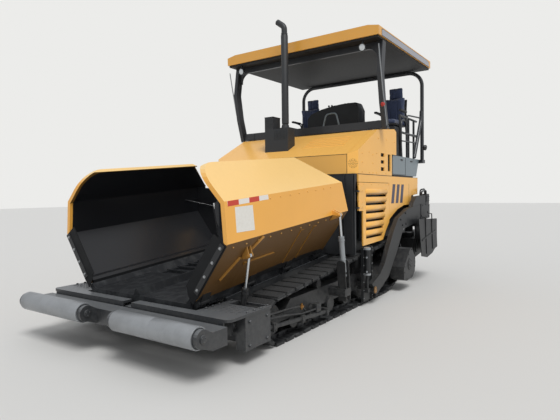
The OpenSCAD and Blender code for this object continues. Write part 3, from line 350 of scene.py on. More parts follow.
for thing in pair("push_roller_tube", push_roller, roller_steel, "roller_SIDE", "push_roller_SIDE"):
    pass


def roller_caps(bm):
    """Keeper plates and bolts on the ears at both ends of each roller."""
    for x, out in ((1296, 1), (200, -1)):
        add_turned(bm, [(-2, 36), (7, 36), (9, 33)], (x, roller_d, roller_z), (out, 0, 0), 32)
        add_bolts(bm, bolt_circle(x + out * 8, roller_d, roller_z, 22, (0.5, 2.6, 4.7)), (out, 0, 0), 6)
    add_bolts(bm, [(x, -2746, z) for x in (330, 620, 910, 1180) for z in (306, 404)], forward, 9)


pair("roller_keepers", roller_caps, frame_grey)

# Crawler tracks
# Cast shoes with moulded rubber road pads, bolted to forged links.
# The chain runs over an idler at the front, plain rollers, and a toothed sprocket at the rear.
idler, idler_r = Vector((-1680, 250)), 190
sprocket, sprocket_r = Vector((1600, 450)), 300
last_roller = Vector((1250, 60))
shoe_count, track_middle = 46, 1040


def arc(centre, radius, start, end, steps):
    """Points from one angle to another round a wheel, in (Y, Z)."""
    angles = [start + (end - start) * i / steps for i in range(steps + 1)]
    return [centre + radius * Vector((cos(a), sin(a))) for a in angles]


def track_path():
    """The chain's line, side on, as (Y, Z) points: idler, bottom run, sprocket and back along the top."""
    span = sprocket - idler
    top = atan2(span.y, span.x) + pi / 2 + asin((sprocket_r - idler_r) / span.length)
    lift = last_roller - sprocket
    rise = atan2(lift.y, lift.x) + acos(sprocket_r / lift.length)
    return arc(idler, idler_r, top, 1.5 * pi, 14) + [last_roller] + arc(sprocket, sprocket_r, rise, top, 18)


def shoe_seats():
    """The start and end of each shoe on the chain's line."""
    points = track_path()
    closed = points + [points[0]]
    marks = [0.0]
    for a, b in zip(closed, closed[1:]):
        marks.append(marks[-1] + (b - a).length)
    pitch = marks[-1] / shoe_count

    def at(distance):
        for i in range(len(points)):
            if marks[i + 1] >= distance:
                return closed[i].lerp(closed[i + 1], (distance - marks[i]) / (marks[i + 1] - marks[i]))
        return closed[-1]
    return [(at((k + 0.04) * pitch), at((k + 0.96) * pitch)) for k in range(shoe_count)]


def on_shoe(start, end):
    """Matrix from a shoe's own axes (across, along, outward) to the machine."""
    along = (end - start).normalized()
    out = Vector((along.y, -along.x))
    middle = (start + end) / 2
    return Matrix(((1, 0, 0, track_middle), (0, along.x, out.x, middle.x), (0, along.y, out.y, middle.y), (0, 0, 0, 1)))


def each_shoe(bm, draw):
    single = bmesh.new()
    start, end = shoe_seats()[30]
    draw(single, (end - start).length / 2)
    shape = bpy.data.meshes.new("one_shoe")
    single.to_mesh(shape)
    for start, end in shoe_seats():
        before = set(bm.verts)
        bm.from_mesh(shape)
        bmesh.ops.transform(bm, matrix=on_shoe(start, end), verts=[v for v in bm.verts if v not in before])
    bpy.data.meshes.remove(shape)
    single.free()


def road_pad(bm, half):
    add_box(bm, (-158, -half + 13, 30), (158, half - 9, 59), 6)
    for x in (-105, -35, 35, 105):
        add_box(bm, (x - 4, -half + 16, 55), (x + 4, half - 16, 60), 0)


def shoe_and_links(bm, half):
    add_box(bm, (-160, -half, 16), (160, half, 31), 3)
    add_box(bm, (-160, half - 16, 10), (160, half, 38), 3)
    for x in (-132, 132):
        add_bolts(bm, [(x, y, 31) for y in (-half + 30, half - 30)], upward, 9)
    for side in (-1, 1):
        add_box(bm, (side * 50 - 10, -half - 4, -26), (side * 50 + 10, half + 4, 16), 8)
        for y in (-half, half):
            add_turned(bm, [(0, 24), (10, 24), (12, 20)], (side * 50, y, -4), (side, 0, 0), 18)
        add_bolts(bm, [(side * 30, y, 14) for y in (-half + 40, half - 40)], (0, 0, -1), 8)
    add_turned(bm, [(0, 22), (80, 22)], (-40, half, -4), outward, 18)


# Moulded rubber, chipped and greyed by the road
rubber_pad, tree, place = bare_material("moulded_rubber_road_pad")
chips = add_node(tree, "ShaderNodeTexNoise", {"Scale": 70.0, "Detail": 6.0, "Roughness": 0.7}, {"Vector": place})
pale_wear_and_painted_highlight = add_node(tree, "ShaderNodeMapRange", {1: 0.35, 2: 0.75, 3: 0.1, 4: 0.75}, {0: chips})
tone = add_node(tree, "ShaderNodeMixRGB", {"Color1": srgb("#18191A"), "Color2": srgb("#4B4B4B")}, {"Fac": pale_wear_and_painted_highlight})
pits = add_node(tree, "ShaderNodeBump", {"Strength": 0.5, "Distance": 0.003}, {"Height": chips})
shader = add_node(tree, "ShaderNodeBsdfPrincipled", {"Roughness": 0.82, "IOR": 1.52},
                  {"Base Color": tone, "Normal": pits})
add_node(tree, "ShaderNodeOutputMaterial", {}, {"Surface": shader})


def cast_steel(name, colour, worn, grit):
    """Cast or forged steel as it leaves the mould, with a sandy grain, and paler in patches where it rubs."""
    material, tree, place = bare_material(name)
    sand = add_node(tree, "ShaderNodeTexNoise", {"Scale": 1 / grit, "Detail": 4.0, "Roughness": 0.6}, {"Vector": place})
    wear = add_node(tree, "ShaderNodeTexNoise", {"Scale": 9.0, "Detail": 5.0}, {"Vector": place})
    rub = add_node(tree, "ShaderNodeMapRange", {1: 0.45, 2: 0.62, 3: 0.0, 4: 1.0}, {0: wear})
    tone = add_node(tree, "ShaderNodeMixRGB", {"Color1": srgb(colour), "Color2": srgb(worn)}, {"Fac": rub})
    rough = add_node(tree, "ShaderNodeMapRange", {1: 0.0, 2: 1.0, 3: 0.72, 4: 0.48}, {0: rub})
    bump = add_node(tree, "ShaderNodeBump", {"Strength": 0.35, "Distance": 0.002}, {"Height": sand})
    shader = add_node(tree, "ShaderNodeBsdfPrincipled", {"Metallic": 0.45},
                      {"Base Color": tone, "Roughness": rough, "Normal": bump})
    add_node(tree, "ShaderNodeOutputMaterial", {}, {"Surface": shader})
    return material


track_steel = cast_steel("forged_track_steel", "#1D1E20", "#4D4E4F", 0.006)
for thing in pair("track_shoes", lambda bm: each_shoe(bm, shoe_and_links), track_steel, "machine", "track_SIDE"):
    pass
pair("track_road_pads", lambda bm: each_shoe(bm, road_pad), rubber_pad)
frame_black = painted_steel("black_enamel_on_track_frame", "#1F2022", road_dust, 0.5, 0.1)
paint_nodes(frame_black, "track_frame_left", "track_frame_right", "cylinder_post_left", "cylinder_post_right")


def side_plate(bm, outline, x0, x1):
    """A flat outline in (Y, Z) between two places across the machine."""
    add_skin(bm, [[(x, d, z) for d, z in outline] for x in (x0, x1)])


def sprocket_teeth(bm):
    """Thirteen teeth, each with two corners at its foot and two at its tip."""
    count, radii = 13, (262, 262, 292, 292)
    angles = [tau * i / (count * 4) for i in range(count * 4)]
    side_plate(bm, [(sprocket.x + radii[i % 4] * cos(a), sprocket.y + radii[i % 4] * sin(a))
                    for i, a in enumerate(angles)], 1018, 1062)


def guard_bolts(bm):
    """Cover bolts round the rear guard, and the plugs of the final drive's hub."""
    ring = [(1400, 300), (1410, 388), (1590, 556), (1735, 618), (1872, 465), (1878, 340), (1752, 196), (1510, 190)]
    add_bolts(bm, [(1420, y, z) for y, z in ring], outward, 10)
    add_turned(bm, [(-2, 92), (6, 92), (12, 84), (12, 40), (20, 36), (20, 0)], (1420, 1640, 400), outward, 40)
    add_bolts(bm, bolt_circle(1430, 1640, 400, 64, [tau * i / 8 for i in range(8)]), outward, 7)


def side_lines(bm):
    """The pipes that run back from the front deck along the track frame, with their clamps."""
    add_tube(bm, [(1226, -1936, 246), (1230, -1300, 196), (1232, -700, 150)], 22, 20)
    add_tube(bm, [(1232, -1936, 336), (1234, -1600, 300), (1234, -1300, 250), (1234, -980, 236)], 10)
    add_tube(bm, rounded([(1232, -1936, 372), (1236, -1500, 352), (1236, -1290, 330), (1214, -1180, 250)], 60), 9)
    for d, z in ((-1820, 237), (-1290, 196), (-760, 155)):
        add_box(bm, (1150, d - 26, z - 42), (1262, d + 26, z + 42), 6)
        add_bolts(bm, [(1262, d, z - 28), (1262, d, z + 28)], outward, 8)
    add_box(bm, (1190, -1000, 196), (1250, -900, 290), 6)


def grease_valve(bm):
    add_turned(bm, [(0, 12), (22, 12), (24, 20), (44, 20), (46, 10), (66, 10)], (1236, -1302, 300), (0.2, -0.2, 1), 16)
    add_turned(bm, [(0, 9), (34, 9)], (1236, -1302, 330), (0.3, -1, 0), 12)
    add_turned(bm, [(0, 14), (10, 14)], (1250, -1302, 330), outward, 12)


pair("side_lines", side_lines, frame_black)
pair("sprocket_teeth", sprocket_teeth, track_steel)
pair("drive_cover_bolts", guard_bolts, frame_black)

# Hopper floor and conveyors
# Wear plate, welded in and polished dull by stone, with chain slats that drag the mix back through the bulkhead.
wear_plate = cast_steel("abrasion_resistant_floor_plate", "#25272A", "#3B3D3F", 0.01)
paint_nodes(wear_plate, "hopper_floor", "conveyor")

# Hopper wings
# Folded 14 mm sheet with a turned-in rim, sprayed yellow outside; black wear liner inside, rubber flap at the front.
# The wing's yellow is paler on what faces up, a painted highlight, and darker on what faces down, painted shade; it
# also darkens to brown towards the bottom.
wing_yellow = painted_steel("yellow_enamel_on_sheet", "#F2B04C", "#8A5C1C", 0.34, 0.35, 0.004, 1.1, 0.4, 0.72, 0.5)
paint_nodes(wing_yellow, "wing_left", "wing_right")
# A darker copy of the yellow for the wing's lower panel: painted shade, with more painted shade on what faces down.
shaded_yellow = painted_steel("yellow_enamel_with_painted_shade", "#B07E36", "#5A3F1A", 0.5, 0.1, 0.004, 1.1, 0.4, 0.72)
slope = radians(5)
hinge_x, hinge_d, hinge_z = 787, -2429, 518
wing_line = [Vector((24, 34)), Vector((408, 567)), Vector((378, 935)), Vector((48, 1279))]


def on_wing(out, along, up):
    """A place in the wing's own axes, from its hinge: outward, back along the hinge, and square to both."""
    return Vector((hinge_x + out, hinge_d + along * cos(slope) - up * sin(slope),
                   hinge_z + along * sin(slope) + up * cos(slope)))


def wing_place(panel, rise, along, out=0.0):
    """A place on the outside of one of the wing's three panels, out millimetres off the sheet."""
    line = (wing_line[panel + 1] - wing_line[panel]).normalized()
    spot = wing_line[panel] + line * rise + Vector((line.y, -line.x)) * out
    return on_wing(spot.x, along, spot.y)


def wing_patch(bm, panel, corners, thick):
    """A thin plate on the outside of a panel, given its corners as (rise, along)."""
    add_skin(bm, [[wing_place(panel, r, a, out) for r, a in corners] for out in (-1, thick)])


def wing_normal(panel):
    return (wing_place(panel, 0, 0, 10) - wing_place(panel, 0, 0, 0)).normalized()


def wing_trim(bm):
    """Bolt heads of the liner, in rows along the rim and above the fold."""
    add_bolts(bm, [wing_place(0, 600, a) for a in range(160, 2250, 190)], wing_normal(0), 8)
    add_bolts(bm, [wing_place(1, 330, a) for a in range(760, 2200, 180)], wing_normal(1), 7)


pair("wing_liner_bolts", wing_trim, wing_yellow, "wing_SIDE")
lining = painted_steel("black_hopper_lining", "#1C1D20", "#5A564F", 0.3, 0.3, 0.012, 0.6)
paint_nodes(lining, "wing_liner_left", "wing_liner_right")


def mottled(name, tones, clouds, settings, relief=None):
    """Two close tones in clouds; relief is a pattern's node and its settings, and the bump's strength and depth."""
    material, tree, place = bare_material(name)
    cloud = add_node(tree, "ShaderNodeTexNoise", clouds, {"Vector": place})
    tone = add_node(tree, "ShaderNodeMixRGB", {"Color1": srgb(tones[0]), "Color2": srgb(tones[1])}, {"Fac": cloud})
    links = {"Base Color": tone}
    if relief:
        kind, pattern, strength, depth = relief
        height = add_node(tree, kind, pattern, {"Vector": place})
        bump = {"Strength": strength, "Distance": depth}
        links["Normal"] = add_node(tree, "ShaderNodeBump", bump, {"Height": height})
    shader = add_node(tree, "ShaderNodeBsdfPrincipled", settings, links)
    add_node(tree, "ShaderNodeOutputMaterial", {}, {"Surface": shader})
    return material


# Reinforced rubber shows a matt black with a grey bloom, and its ply as a fine roughness
rubber = mottled("reinforced_rubber_sheet", ("#101112", "#222325"), {"Scale": 7.0, "Detail": 4.0},
                 {"Roughness": 0.62, "Specular IOR Level": 0.2},
                 ("ShaderNodeTexNoise", {"Scale": 120.0, "Detail": 3.0}, 0.2, 0.001))


def second_coat(node, material, chosen):
    """Gives the faces of a solid that chosen accepts, by their middle in millimetres, a material of their own."""
    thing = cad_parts[node]
    thing.data.materials.append(material)
    for face in thing.data.polygons:
        if chosen(thing.matrix_world @ face.center * 1000 - datum):
            face.material_index = len(thing.data.materials) - 1


def up_the_wing(spot):
    """How far a place lies above the hinge line, square to it."""
    return (spot.z - hinge_z) * cos(slope) - (spot.y - hinge_d) * sin(slope)


# The liner's front is the rubber flap; the wing is clean above its fold, a darker yellow of painted shade below it, and
# black at its foot
flap_back, shaded_panel_foot, shaded_panel_top = hinge_d + 2, 90, 560
for side in ("left", "right"):
    second_coat(f"wing_liner_{side}", rubber, lambda spot: spot.y < flap_back)
    second_coat(f"wing_{side}", shaded_yellow, lambda spot: shaded_panel_foot <= up_the_wing(spot) < shaded_panel_top)
    second_coat(f"wing_{side}", frame_black, lambda spot: up_the_wing(spot) < shaded_panel_foot)


def flap_spot(rise, inward, ahead=0.0):
    """A place on the front face of the rubber flap: up along the lower panel, in from its outside, and ahead of it."""
    up = (wing_line[1] - wing_line[0]).normalized()
    spot = wing_line[0] + up * rise + Vector((-up.y, up.x)) * inward
    return Vector((hinge_x + spot.x, -2441 - ahead, 517 + spot.y / cos(slope)))


def flap_clamp(bm):
    """The steel strip that holds the rubber flap to the wing's front edge."""
    strip = ((70, 8), (630, 8), (630, 62), (70, 62))
    add_skin(bm, [[flap_spot(r, d, ahead) for r, d in strip] for ahead in (-1, 7)])


def flap_bolts(bm):
    add_bolts(bm, [flap_spot(r, 36, 7) for r in (110, 270, 430, 590)], forward, 12)


def flap_tip(bm):
    """The tongue of the flap that hangs over the foot of the wing."""
    outline = [(42, 0), (42, 150), (14, 128), (-14, 90), (-34, 44), (-40, 4)]
    add_skin(bm, [[flap_spot(r, d, ahead) for r, d in outline] for ahead in (0, -4)])


def rear_plate(bm):
    """The sheet that closes the wing's rear end, with a rolled inner edge."""
    outer = [(0, 110, -18), (0, 640, -18), (1, 180, -18), (1, 366, -18)]
    inner = [(1, 366, -390), (1, 180, -400), (0, 560, -340), (0, 110, -100)]
    add_skin(bm, [[wing_place(k, r, along, out) for k, r, out in outer + inner] for along in (2150, 2156)])
    add_tube(bm, [wing_place(k, r, 2153, out) for k, r, out in inner], 9)
    add_tube(bm, [wing_place(1, 200, 2150, -24), wing_place(1, 200, 1900, -24), wing_place(0, 520, 2150, -330)], 7)


def foot_seal(bm):
    """Rubber lip on the sloped guard of the floor, which closes the gap under the wing's lining."""
    lip = ((-52, 46), (-46, 46), (-44, 80), (-50, 80))
    add_skin(bm, [[on_wing(x, along, up) for x, up in lip] for along in (20, 2170)])


pair("flap_tips", flap_tip, rubber, "wing_SIDE")
pair("wing_rear_plates", rear_plate, lining, "wing_SIDE")
pair("foot_seals", foot_seal, rubber)
pair("flap_clamps", flap_clamp, frame_black, "wing_SIDE")
pair("flap_bolts", flap_bolts, zinc, "wing_SIDE")

# Paper notice and reflective tape on the left wing
# A sheet of paper in a clear sleeve, left blank, and a strip of red and white marker tape above it.
paper = mottled("paper_in_clear_sleeve", ("#E9E6DF", "#DAD6CC"), {"Scale": 40.0, "Detail": 2.0},
                {"Roughness": 0.35, "Coat Weight": 0.6, "Coat Roughness": 0.08})
notice = bmesh.new()
wing_patch(notice, 1, [(306, 212), (296, 468), (66, 452), (82, 190)], 1.2)
piece("blank_notice", notice, paper, "wing_left")

# Smooth reflective film in blocks 152 mm long, red first
marker_tape, tree, place = bare_material("red_and_white_marker_tape")
spread = add_node(tree, "ShaderNodeSeparateXYZ", {}, {0: place})
beat = add_node(tree, "ShaderNodeMath", {"operation": "MULTIPLY_ADD", 1: 1 / 0.305, 2: 0.833}, {0: spread.outputs["Y"]})
part = add_node(tree, "ShaderNodeMath", {"operation": "FRACT"}, {0: beat})
step = add_node(tree, "ShaderNodeMath", {"operation": "GREATER_THAN", 1: 0.5}, {0: part})
tone = add_node(tree, "ShaderNodeMixRGB", {"Color1": srgb("#C9422F"), "Color2": srgb("#E6E0D8")}, {"Fac": step})
shader = add_node(tree, "ShaderNodeBsdfPrincipled", {"Roughness": 0.3}, {"Base Color": tone})
add_node(tree, "ShaderNodeOutputMaterial", {}, {"Surface": shader})
tape = bmesh.new()
wing_patch(tape, 1, [(368, 120), (368, 730), (322, 730), (322, 120)], 0.8)
piece("marker_tape", tape, marker_tape, "wing_left")

# Hydraulic cylinders of the wings and the screed
# Honed tube with a screwed gland and welded ports, painted with the frame; the rods are ground and hard chromed.
silver_enamel = painted_steel("silver_enamel_on_cylinders", "#8E9295", road_dust, 0.36, 0.2)
paint_nodes(silver_enamel, "rear_barrel_left", "rear_barrel_right")
paint_nodes(frame_black, "front_barrel_left", "front_barrel_right", "lift_barrel_left", "lift_barrel_right")

# Chrome mirrors its surroundings under a thin, uneven film of oil
hard_chrome, tree, place = bare_material("hard_chrome_on_ground_rod")
film = add_node(tree, "ShaderNodeTexNoise", {"Scale": 30.0, "Detail": 3.0}, {"Vector": place})
rough = add_node(tree, "ShaderNodeMapRange", {1: 0.3, 2: 0.7, 3: 0.12, 4: 0.28}, {0: film})
shader = add_node(tree, "ShaderNodeBsdfPrincipled", {"Base Color": srgb("#D5D8DB"), "Metallic": 1.0},
                  {"Roughness": rough})
add_node(tree, "ShaderNodeOutputMaterial", {}, {"Surface": shader})
paint_nodes(hard_chrome, *[f"{end}_rod_{side}" for end in ("front", "rear", "lift") for side in ("left", "right")])


def cylinder_fittings(pivot, top, radius, length, foot=70):
    """Gland flats, a clamp ring and the two hose ports on a barrel between its pivot and its rod's eye."""
    axis = (top - pivot).normalized()

    def draw(bm):
        for low, high, swell in ((length - 60, length - 32, 6), (foot, foot + 20, 4)):
            inside, outside = radius - 1, radius + swell
            band = [(low, inside), (low + 2, outside), (high - 2, outside), (high, inside)]
            add_turned(bm, band, pivot, axis, 36, True)
        for along in (foot + 35, length - 80):
            port = [(radius - 3, 13), (radius + 16, 13), (radius + 18, 10), (radius + 26, 10)]
            add_turned(bm, port, pivot + axis * along, (0, 1, 0.05), 16)
    return draw


for end, pivot, top, radius, length, foot, finish in (
        ("front", on_wing(193, 415, -265), on_wing(345, 415, 395), 28, 350, 70, frame_black),
        ("rear", on_wing(503, 2025, -175), on_wing(480, 2025, 563), 32, 480, 190, silver_enamel),
        ("lift", Vector((1080, 2250, 1450)), Vector((1080, 2470, 790)), 38, 500, 70, frame_grey)):
    pair(f"{end}_cylinder_fittings", cylinder_fittings(pivot, top, radius, length, foot), finish, f"{end}_barrel_SIDE")

# Bulkhead
# Dark plate behind the hopper, with gates over the conveyors; it stays matt from heat and bitumen.
bulk_black = painted_steel("black_enamel_on_bulkhead", "#27292C", "#57534C", 0.5, 0.05)
paint_nodes(bulk_black, "bulkhead")

# Engine hood and upper boxes
# Pressed and folded yellow covers on hinges: a sloping hood with a louvred grille between two boxes with cut corners.
# Darker on what faces down, painted shade, and faintly paler on what faces up, a painted highlight.
hood_yellow = painted_steel("yellow_enamel_on_covers", "#FDBE5A", "#8A5C1C", 0.34, 0.35, 0.004, 1.1, 0.25, 0.6, 0.06)
paint_nodes(hood_yellow, "hood", "upper_box_left", "upper_box_right")
# Black for the rubber seals in the seams; the same black also stands as painted shade in the breather holes and behind
# the box vents.
seam_black_and_painted_shade = painted_steel("black_seal_in_seams_and_painted_shade", "#17181A", "#3A3833", 0.6, 0.0)
hood_front, hood_foot = 98, 1772
hood_line = [(hood_front, 2030), (860, 2420), (1640, 2500)]
box_side = 1215


def hood_height(d):
    for (a, low), (b, high) in zip(hood_line, hood_line[1:]):
        if d <= b:
            return low + (high - low) * (d - a) / (b - a)
    return hood_line[-1][1]


def sloped_plate(bm, x0, x1, d0, d1, below, above):
    """A plate that follows the hood's slope between two places along the machine."""
    corners = ((d0, below), (d1, below), (d1, above), (d0, above))
    side_plate(bm, [(d, hood_height(d) + step) for d, step in corners], x0, x1)


mesh_screen = bmesh.new()
sloped_plate(mesh_screen, 236, 914, 384, 744, -34, -26)
piece("grille_screen", mesh_screen, seam_black_and_painted_shade)
louvres = bmesh.new()
for d in range(400, 760, 60):
    sloped_plate(louvres, 252, 898, d - 14, d + 3, 0, 7)
piece("grille_louvres", louvres, hood_yellow)
hood_seams = bmesh.new()
for x in (-1101, 1096):
    sloped_plate(hood_seams, x, x + 5, 100, 1600, -2, 1.5)
    add_box(hood_seams, (x, hood_front - 1.5, hood_foot + 4), (x + 5, hood_front + 2, 2030))
sloped_plate(hood_seams, -1096, 1096, 858, 866, -2, 1.2)
add_box(hood_seams, (-1096, hood_front - 1.5, 2024), (1096, hood_front + 1, 2030))
piece("hood_seams", hood_seams, seam_black_and_painted_shade)


def hood_hinges(bm):
    """Hinge leaves along the edges of the hood cover."""
    for d in (910, 1560):
        add_box(bm, (1030, d, hood_height(d) - 2), (1090, d + 70, hood_height(d + 70) + 9), 3)


def box_screws(bm):
    """Rows of screws, as far up as the box reaches at each place."""
    rows = (((330, 690), (1800, 1930, 2050)), ((560, 820, 1180), (1800, 2080)), ((900, 1200, 1540), (2300,)))
    spots = [(box_side, d, z) for ds, zs in rows for d in ds for z in zs]
    add_bolts(bm, [s for s in spots if s[2] < hood_height(s[1]) - 40], outward, 7)


def perforations(bm):
    """Breather holes drilled in a round pattern through the cut corner of the box, drawn as dark discs of painted
    shade.
    """
    cut = radians(42)
    across = Vector((cos(cut), sin(cut), 0))
    middle = Vector((1103, hood_front, 1905)) + across * 78
    for ring, count in ((0, 1), (20, 6), (40, 12), (58, 16)):
        for spot in around(across * ring, Vector((0, 0, ring)), count):
            add_turned(bm, [(-4, 5), (0.8, 5)], middle + spot, (sin(cut), -cos(cut), 0), 10)


def box_windows(bm):
    """Dark inner sheets, painted shade, behind the three small vents and the long slot of the box."""
    add_box(bm, (1186, 965, 1815), (1190, 1395, 2112))
    vents = [(985, 1120, low, high) for low, high in ((2042, 2093), (1941, 1990), (1835, 1888))]
    for d0, d1, z0, z1 in vents + [(1262, 1372, 1838, 2091)]:
        for i in range(1, 4):
            z = z0 + (z1 - z0) * i / 4
            add_box(bm, (1190, d0, z - 2), (1200, d1, z + 2))


pair("hood_hinges", hood_hinges, frame_grey)
pair("upper_box_screws", box_screws, hood_yellow)
pair("box_breather_holes", perforations, seam_black_and_painted_shade)
pair("box_vents", box_windows, seam_black_and_painted_shade)

# Side panels and service doors
# Yellow pressed sheet; the door has six deep louvres for the cooler and hangs on two lift-off hinges at its front edge.
paint_nodes(hood_yellow, "side_panel_left", "side_panel_right", "side_door_left", "side_door_right")
door_skin = 1209


def slanted_bars(bm):
    """Three plain slanted bars, cut from dark film."""
    for d in (1450, 1645, 1840):
        side_plate(bm, [(d, 1645), (d + 115, 1645), (d + 45, 1350), (d - 70, 1350)], 1219, 1221.2)


def door_fittings(bm):
    for z in (1310, 1530):
        add_box(bm, (1219, 210, z + 2), (1225, 330, z + 98), 2)
        add_bolts(bm, [(1225, 300, z + 20), (1225, 300, z + 80)], outward, 6)
    add_bolts(bm, [(1220, d, 1635) for d in (360, 620, 880, 1140, 1270)], outward, 6)


def louvre_blades(bm):
    """Pressed louvres: each blade swells out from the door and ends in a sharp lower lip."""
    section = [(0, 100), (11.5, 113), (25, 104), (34, 88), (37, 70), (34, 52), (25, 38), (15, 30), (10, 34), (19, 52),
               (0, 92)]
    for i in range(6):
        foot, end = 890 + i * 114, 1000 + i * 36
        add_skin(bm, [[(door_skin + out * share, d, foot + rise) for out, rise in section]
                      for d, share in ((424, 0.36), (462, 1.0), (end - 8, 1.0), (end + 24, 0.36))])


def cooler(bm):
    """The cooler's finned core behind the louvres, and the sheet that joins the engine bay to the bulkhead."""
    add_box(bm, (1110, 420, 860), (1140, 1290, 1620), 4)
    for i in range(36):
        add_box(bm, (1140, 430, 872 + i * 20.6), (1150, 1280, 876 + i * 20.6))
    add_box(bm, (1080, 40, 720), (1086, 720, 1764))
    add_box(bm, (1086, 60, 720), (1196, 66, 1764))


def arch_lining(bm):
    """Rubber-edged sheet inside the arch over the tow arm."""
    side_plate(bm, [(1300, 1500), (2630, 1500), (2630, 1250), (2280, 1225), (2080, 1040), (1960, 940), (1640, 880),
                    (1420, 850), (1300, 850)], 1150, 1156)


def mud_flap(bm):
    """Rubber flap under the rear of the hull, clamped by a strip, that keeps hot mix off the tow arm."""
    add_box(bm, (1128, 2290, 850), (1256, 2298, 1330), 2)
    add_box(bm, (1132, 2282, 1262), (1252, 2290, 1326), 2)


film = mottled("dark_vinyl_film", ("#2E2B45", "#3A3650"), {"Scale": 5.0, "Detail": 3.0}, {"Roughness": 0.28})
pair("slanted_bars", slanted_bars, film)
pair("door_hinge_straps", door_fittings, hood_yellow, "door_SIDE")
pair("door_louvres", louvre_blades, hood_yellow, "door_SIDE", smooth=50)
pair("cooler_cores", cooler, bulk_black)
pair("arch_linings", arch_lining, bulk_black)
pair("mud_flaps", mud_flap, rubber)
hatch_seams = bmesh.new()
for x in (-1222, 1219.5):
    add_box(hatch_seams, (x, 190, 1764), (x + 1.5, 2660, 1770))
    side_plate(hatch_seams, [(2200, 1660), (2206, 1660), (2206, 1330), (2200, 1330)], x, x + 1.5)
piece("side_seams", hatch_seams, seam_black_and_painted_shade)

# Engine
# A cast block, painted grey, wholly closed in by the hood.
paint_nodes(cast_steel("painted_engine_casting", "#565A5D", "#6B6E70", 0.003), "engine")

# Operator platform
# Folded floor of tear plate over grey steel boxes, with a kick strip round its edge.
paint_nodes(frame_grey, "platform", "handrails")
box_grey = painted_steel("mid_grey_enamel_on_boxes", "#7B868B", "#A9A59C", 0.4, 0.25)
paint_nodes(box_grey, "platform_sides")
seat_middle = 850
treads = bmesh.new()
bars = [(row, column, -1080 + column * 74.5, 1680 + row * 51) for row in range(22) for column in range(30)]
# None under the seats, and none under the console
add_treads(treads, [bar for bar in bars if not (abs(abs(bar[2]) - seat_middle) < 200 and 2030 < bar[3] < 2440
                                                or abs(bar[2]) < 480 and 1840 < bar[3] < 2060)], 17, 2094, 2098)
piece("platform_treads", treads, frame_grey)


def platform_trim(bm):
    """Seams between the lids of the side boxes, and their finger pulls."""
    add_box(bm, (1204, 1505, 1798), (1208, 2070, 1804))
    add_box(bm, (1204, 2076, 1798), (1208, 2082, 2090))
    for d in (1850, 2330):
        add_box(bm, (1204, d, 2030), (1212, d + 100, 2052), 3)


pair("side_box_lids", platform_trim, frame_black)

# Console
# The driving desk: a sheet-metal column with a moulded desk under a fitted vinyl cover, and four levers.
# Vinyl shines softly; its leather-like cells, 6 mm across, are drawn coarser than real so that they show.
vinyl = mottled("grained_vinyl_cover", ("#17191A", "#2A2D30"), {"Scale": 5.0, "Detail": 3.0, "Distortion": 0.6},
                {"Roughness": 0.48, "Specular IOR Level": 0.35},
                ("ShaderNodeTexVoronoi", {"Scale": 160.0}, 0.25, 0.001))


def draped_block(bm, outline, d0, d1, fold, seed):
    """A cover fitted over an outline in (X, Z): closed, rounded at its edges, and ruffled by shallow folds."""
    steps, stitch = 14, 45
    cx, cz = [sum(p[axis] for p in outline) / len(outline) for axis in (0, 1)]
    ring = []
    for (ax, az), (bx, bz) in zip(outline, outline[1:] + outline[:1]):
        count = max(1, round(hypot(bx - ax, bz - az) / stitch))
        ring += [(ax + (bx - ax) * i / count, az + (bz - az) * i / count) for i in range(count)]
    rows = []
    for i in range(steps + 1):
        d = d0 + (d1 - d0) * (0.5 - 0.5 * cos(pi * i / steps))
        swell = sin(pi * i / steps) ** 0.28 if 0 < i < steps else 0.82
        row = []
        for x, z in ring:
            point = Vector((cx + (x - cx) * (0.9 + 0.1 * swell), d, cz + (z - cz) * (0.93 + 0.07 * swell)))
            ruffle = noise.noise(Vector((point.x * 0.012 + seed, point.y * 0.012, point.z * 0.004))) * fold
            row.append(point + Vector((point.x - cx, 0, point.z - cz)).normalized() * (ruffle - fold))
        rows.append(row)
    add_skin(bm, rows)


desk = bmesh.new()
draped_block(desk, [(-510, 2600), (510, 2600), (510, 2930), (460, 3050), (200, 3052), (0, 3040), (-220, 2996),
                    (-430, 2930), (-510, 2850)], 1802, 2078, 7, 3.1)
desk_cover = piece("console_cover", desk, vinyl, "machine", 60)
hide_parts("console")
column = bmesh.new()
add_box(column, (-448, 1862, 2095.5), (448, 2038, 2625), 12)
for x in (-380, 40):
    add_box(column, (x, 2036, 2180), (x + 340, 2043, 2560), 4)
piece("console_column", column, frame_black)
controls = bmesh.new()
for x in (-190, -130, 130, 190):
    add_tube(controls, [(x, 2040, 2980), (x, 2048, 3075)], 6)
    add_turned(controls, [(0, 8), (10, 17), (24, 17), (32, 9)], (x, 2047, 3070), (0, 0.1, 1), 16)
piece("desk_levers", controls, frame_black)

# Seats
# Foam pads under navy cloth, sewn with two channels and piped round the rim, in a black moulded shell on a sprung base.
# The cloth is a matt plain weave, faded where it is sat on; threads 5 mm apart, coarser than real so that they show.
seat_cloth, tree, place = bare_material("navy_woven_seat_cloth")
warp, weft = [add_node(tree, "ShaderNodeTexWave", {"Scale": 64.0, "bands_direction": run, "Distortion": 0.6},
                       {"Vector": place}).outputs["Fac"] for run in ("X", "Z")]
cross = add_node(tree, "ShaderNodeMath", {"operation": "MULTIPLY"}, {0: warp, 1: weft})
rub = add_node(tree, "ShaderNodeTexNoise", {"Scale": 8.0, "Detail": 4.0}, {"Vector": place})
tone = add_node(tree, "ShaderNodeMixRGB", {"Color1": srgb("#35415F"), "Color2": srgb("#4A5778")}, {"Fac": rub})
thread = add_node(tree, "ShaderNodeMixRGB", {"blend_type": "MULTIPLY", "Fac": 0.35, "Color2": srgb("#8890A8")},
                  {"Color1": tone})
weave = add_node(tree, "ShaderNodeBump", {"Strength": 0.4, "Distance": 0.0012}, {"Height": cross})
shader = add_node(tree, "ShaderNodeBsdfPrincipled", {"Roughness": 0.85, "Sheen Weight": 0.35, "Sheen Roughness": 0.5},
                  {"Base Color": thread, "Normal": weave})
add_node(tree, "ShaderNodeOutputMaterial", {}, {"Surface": shader})


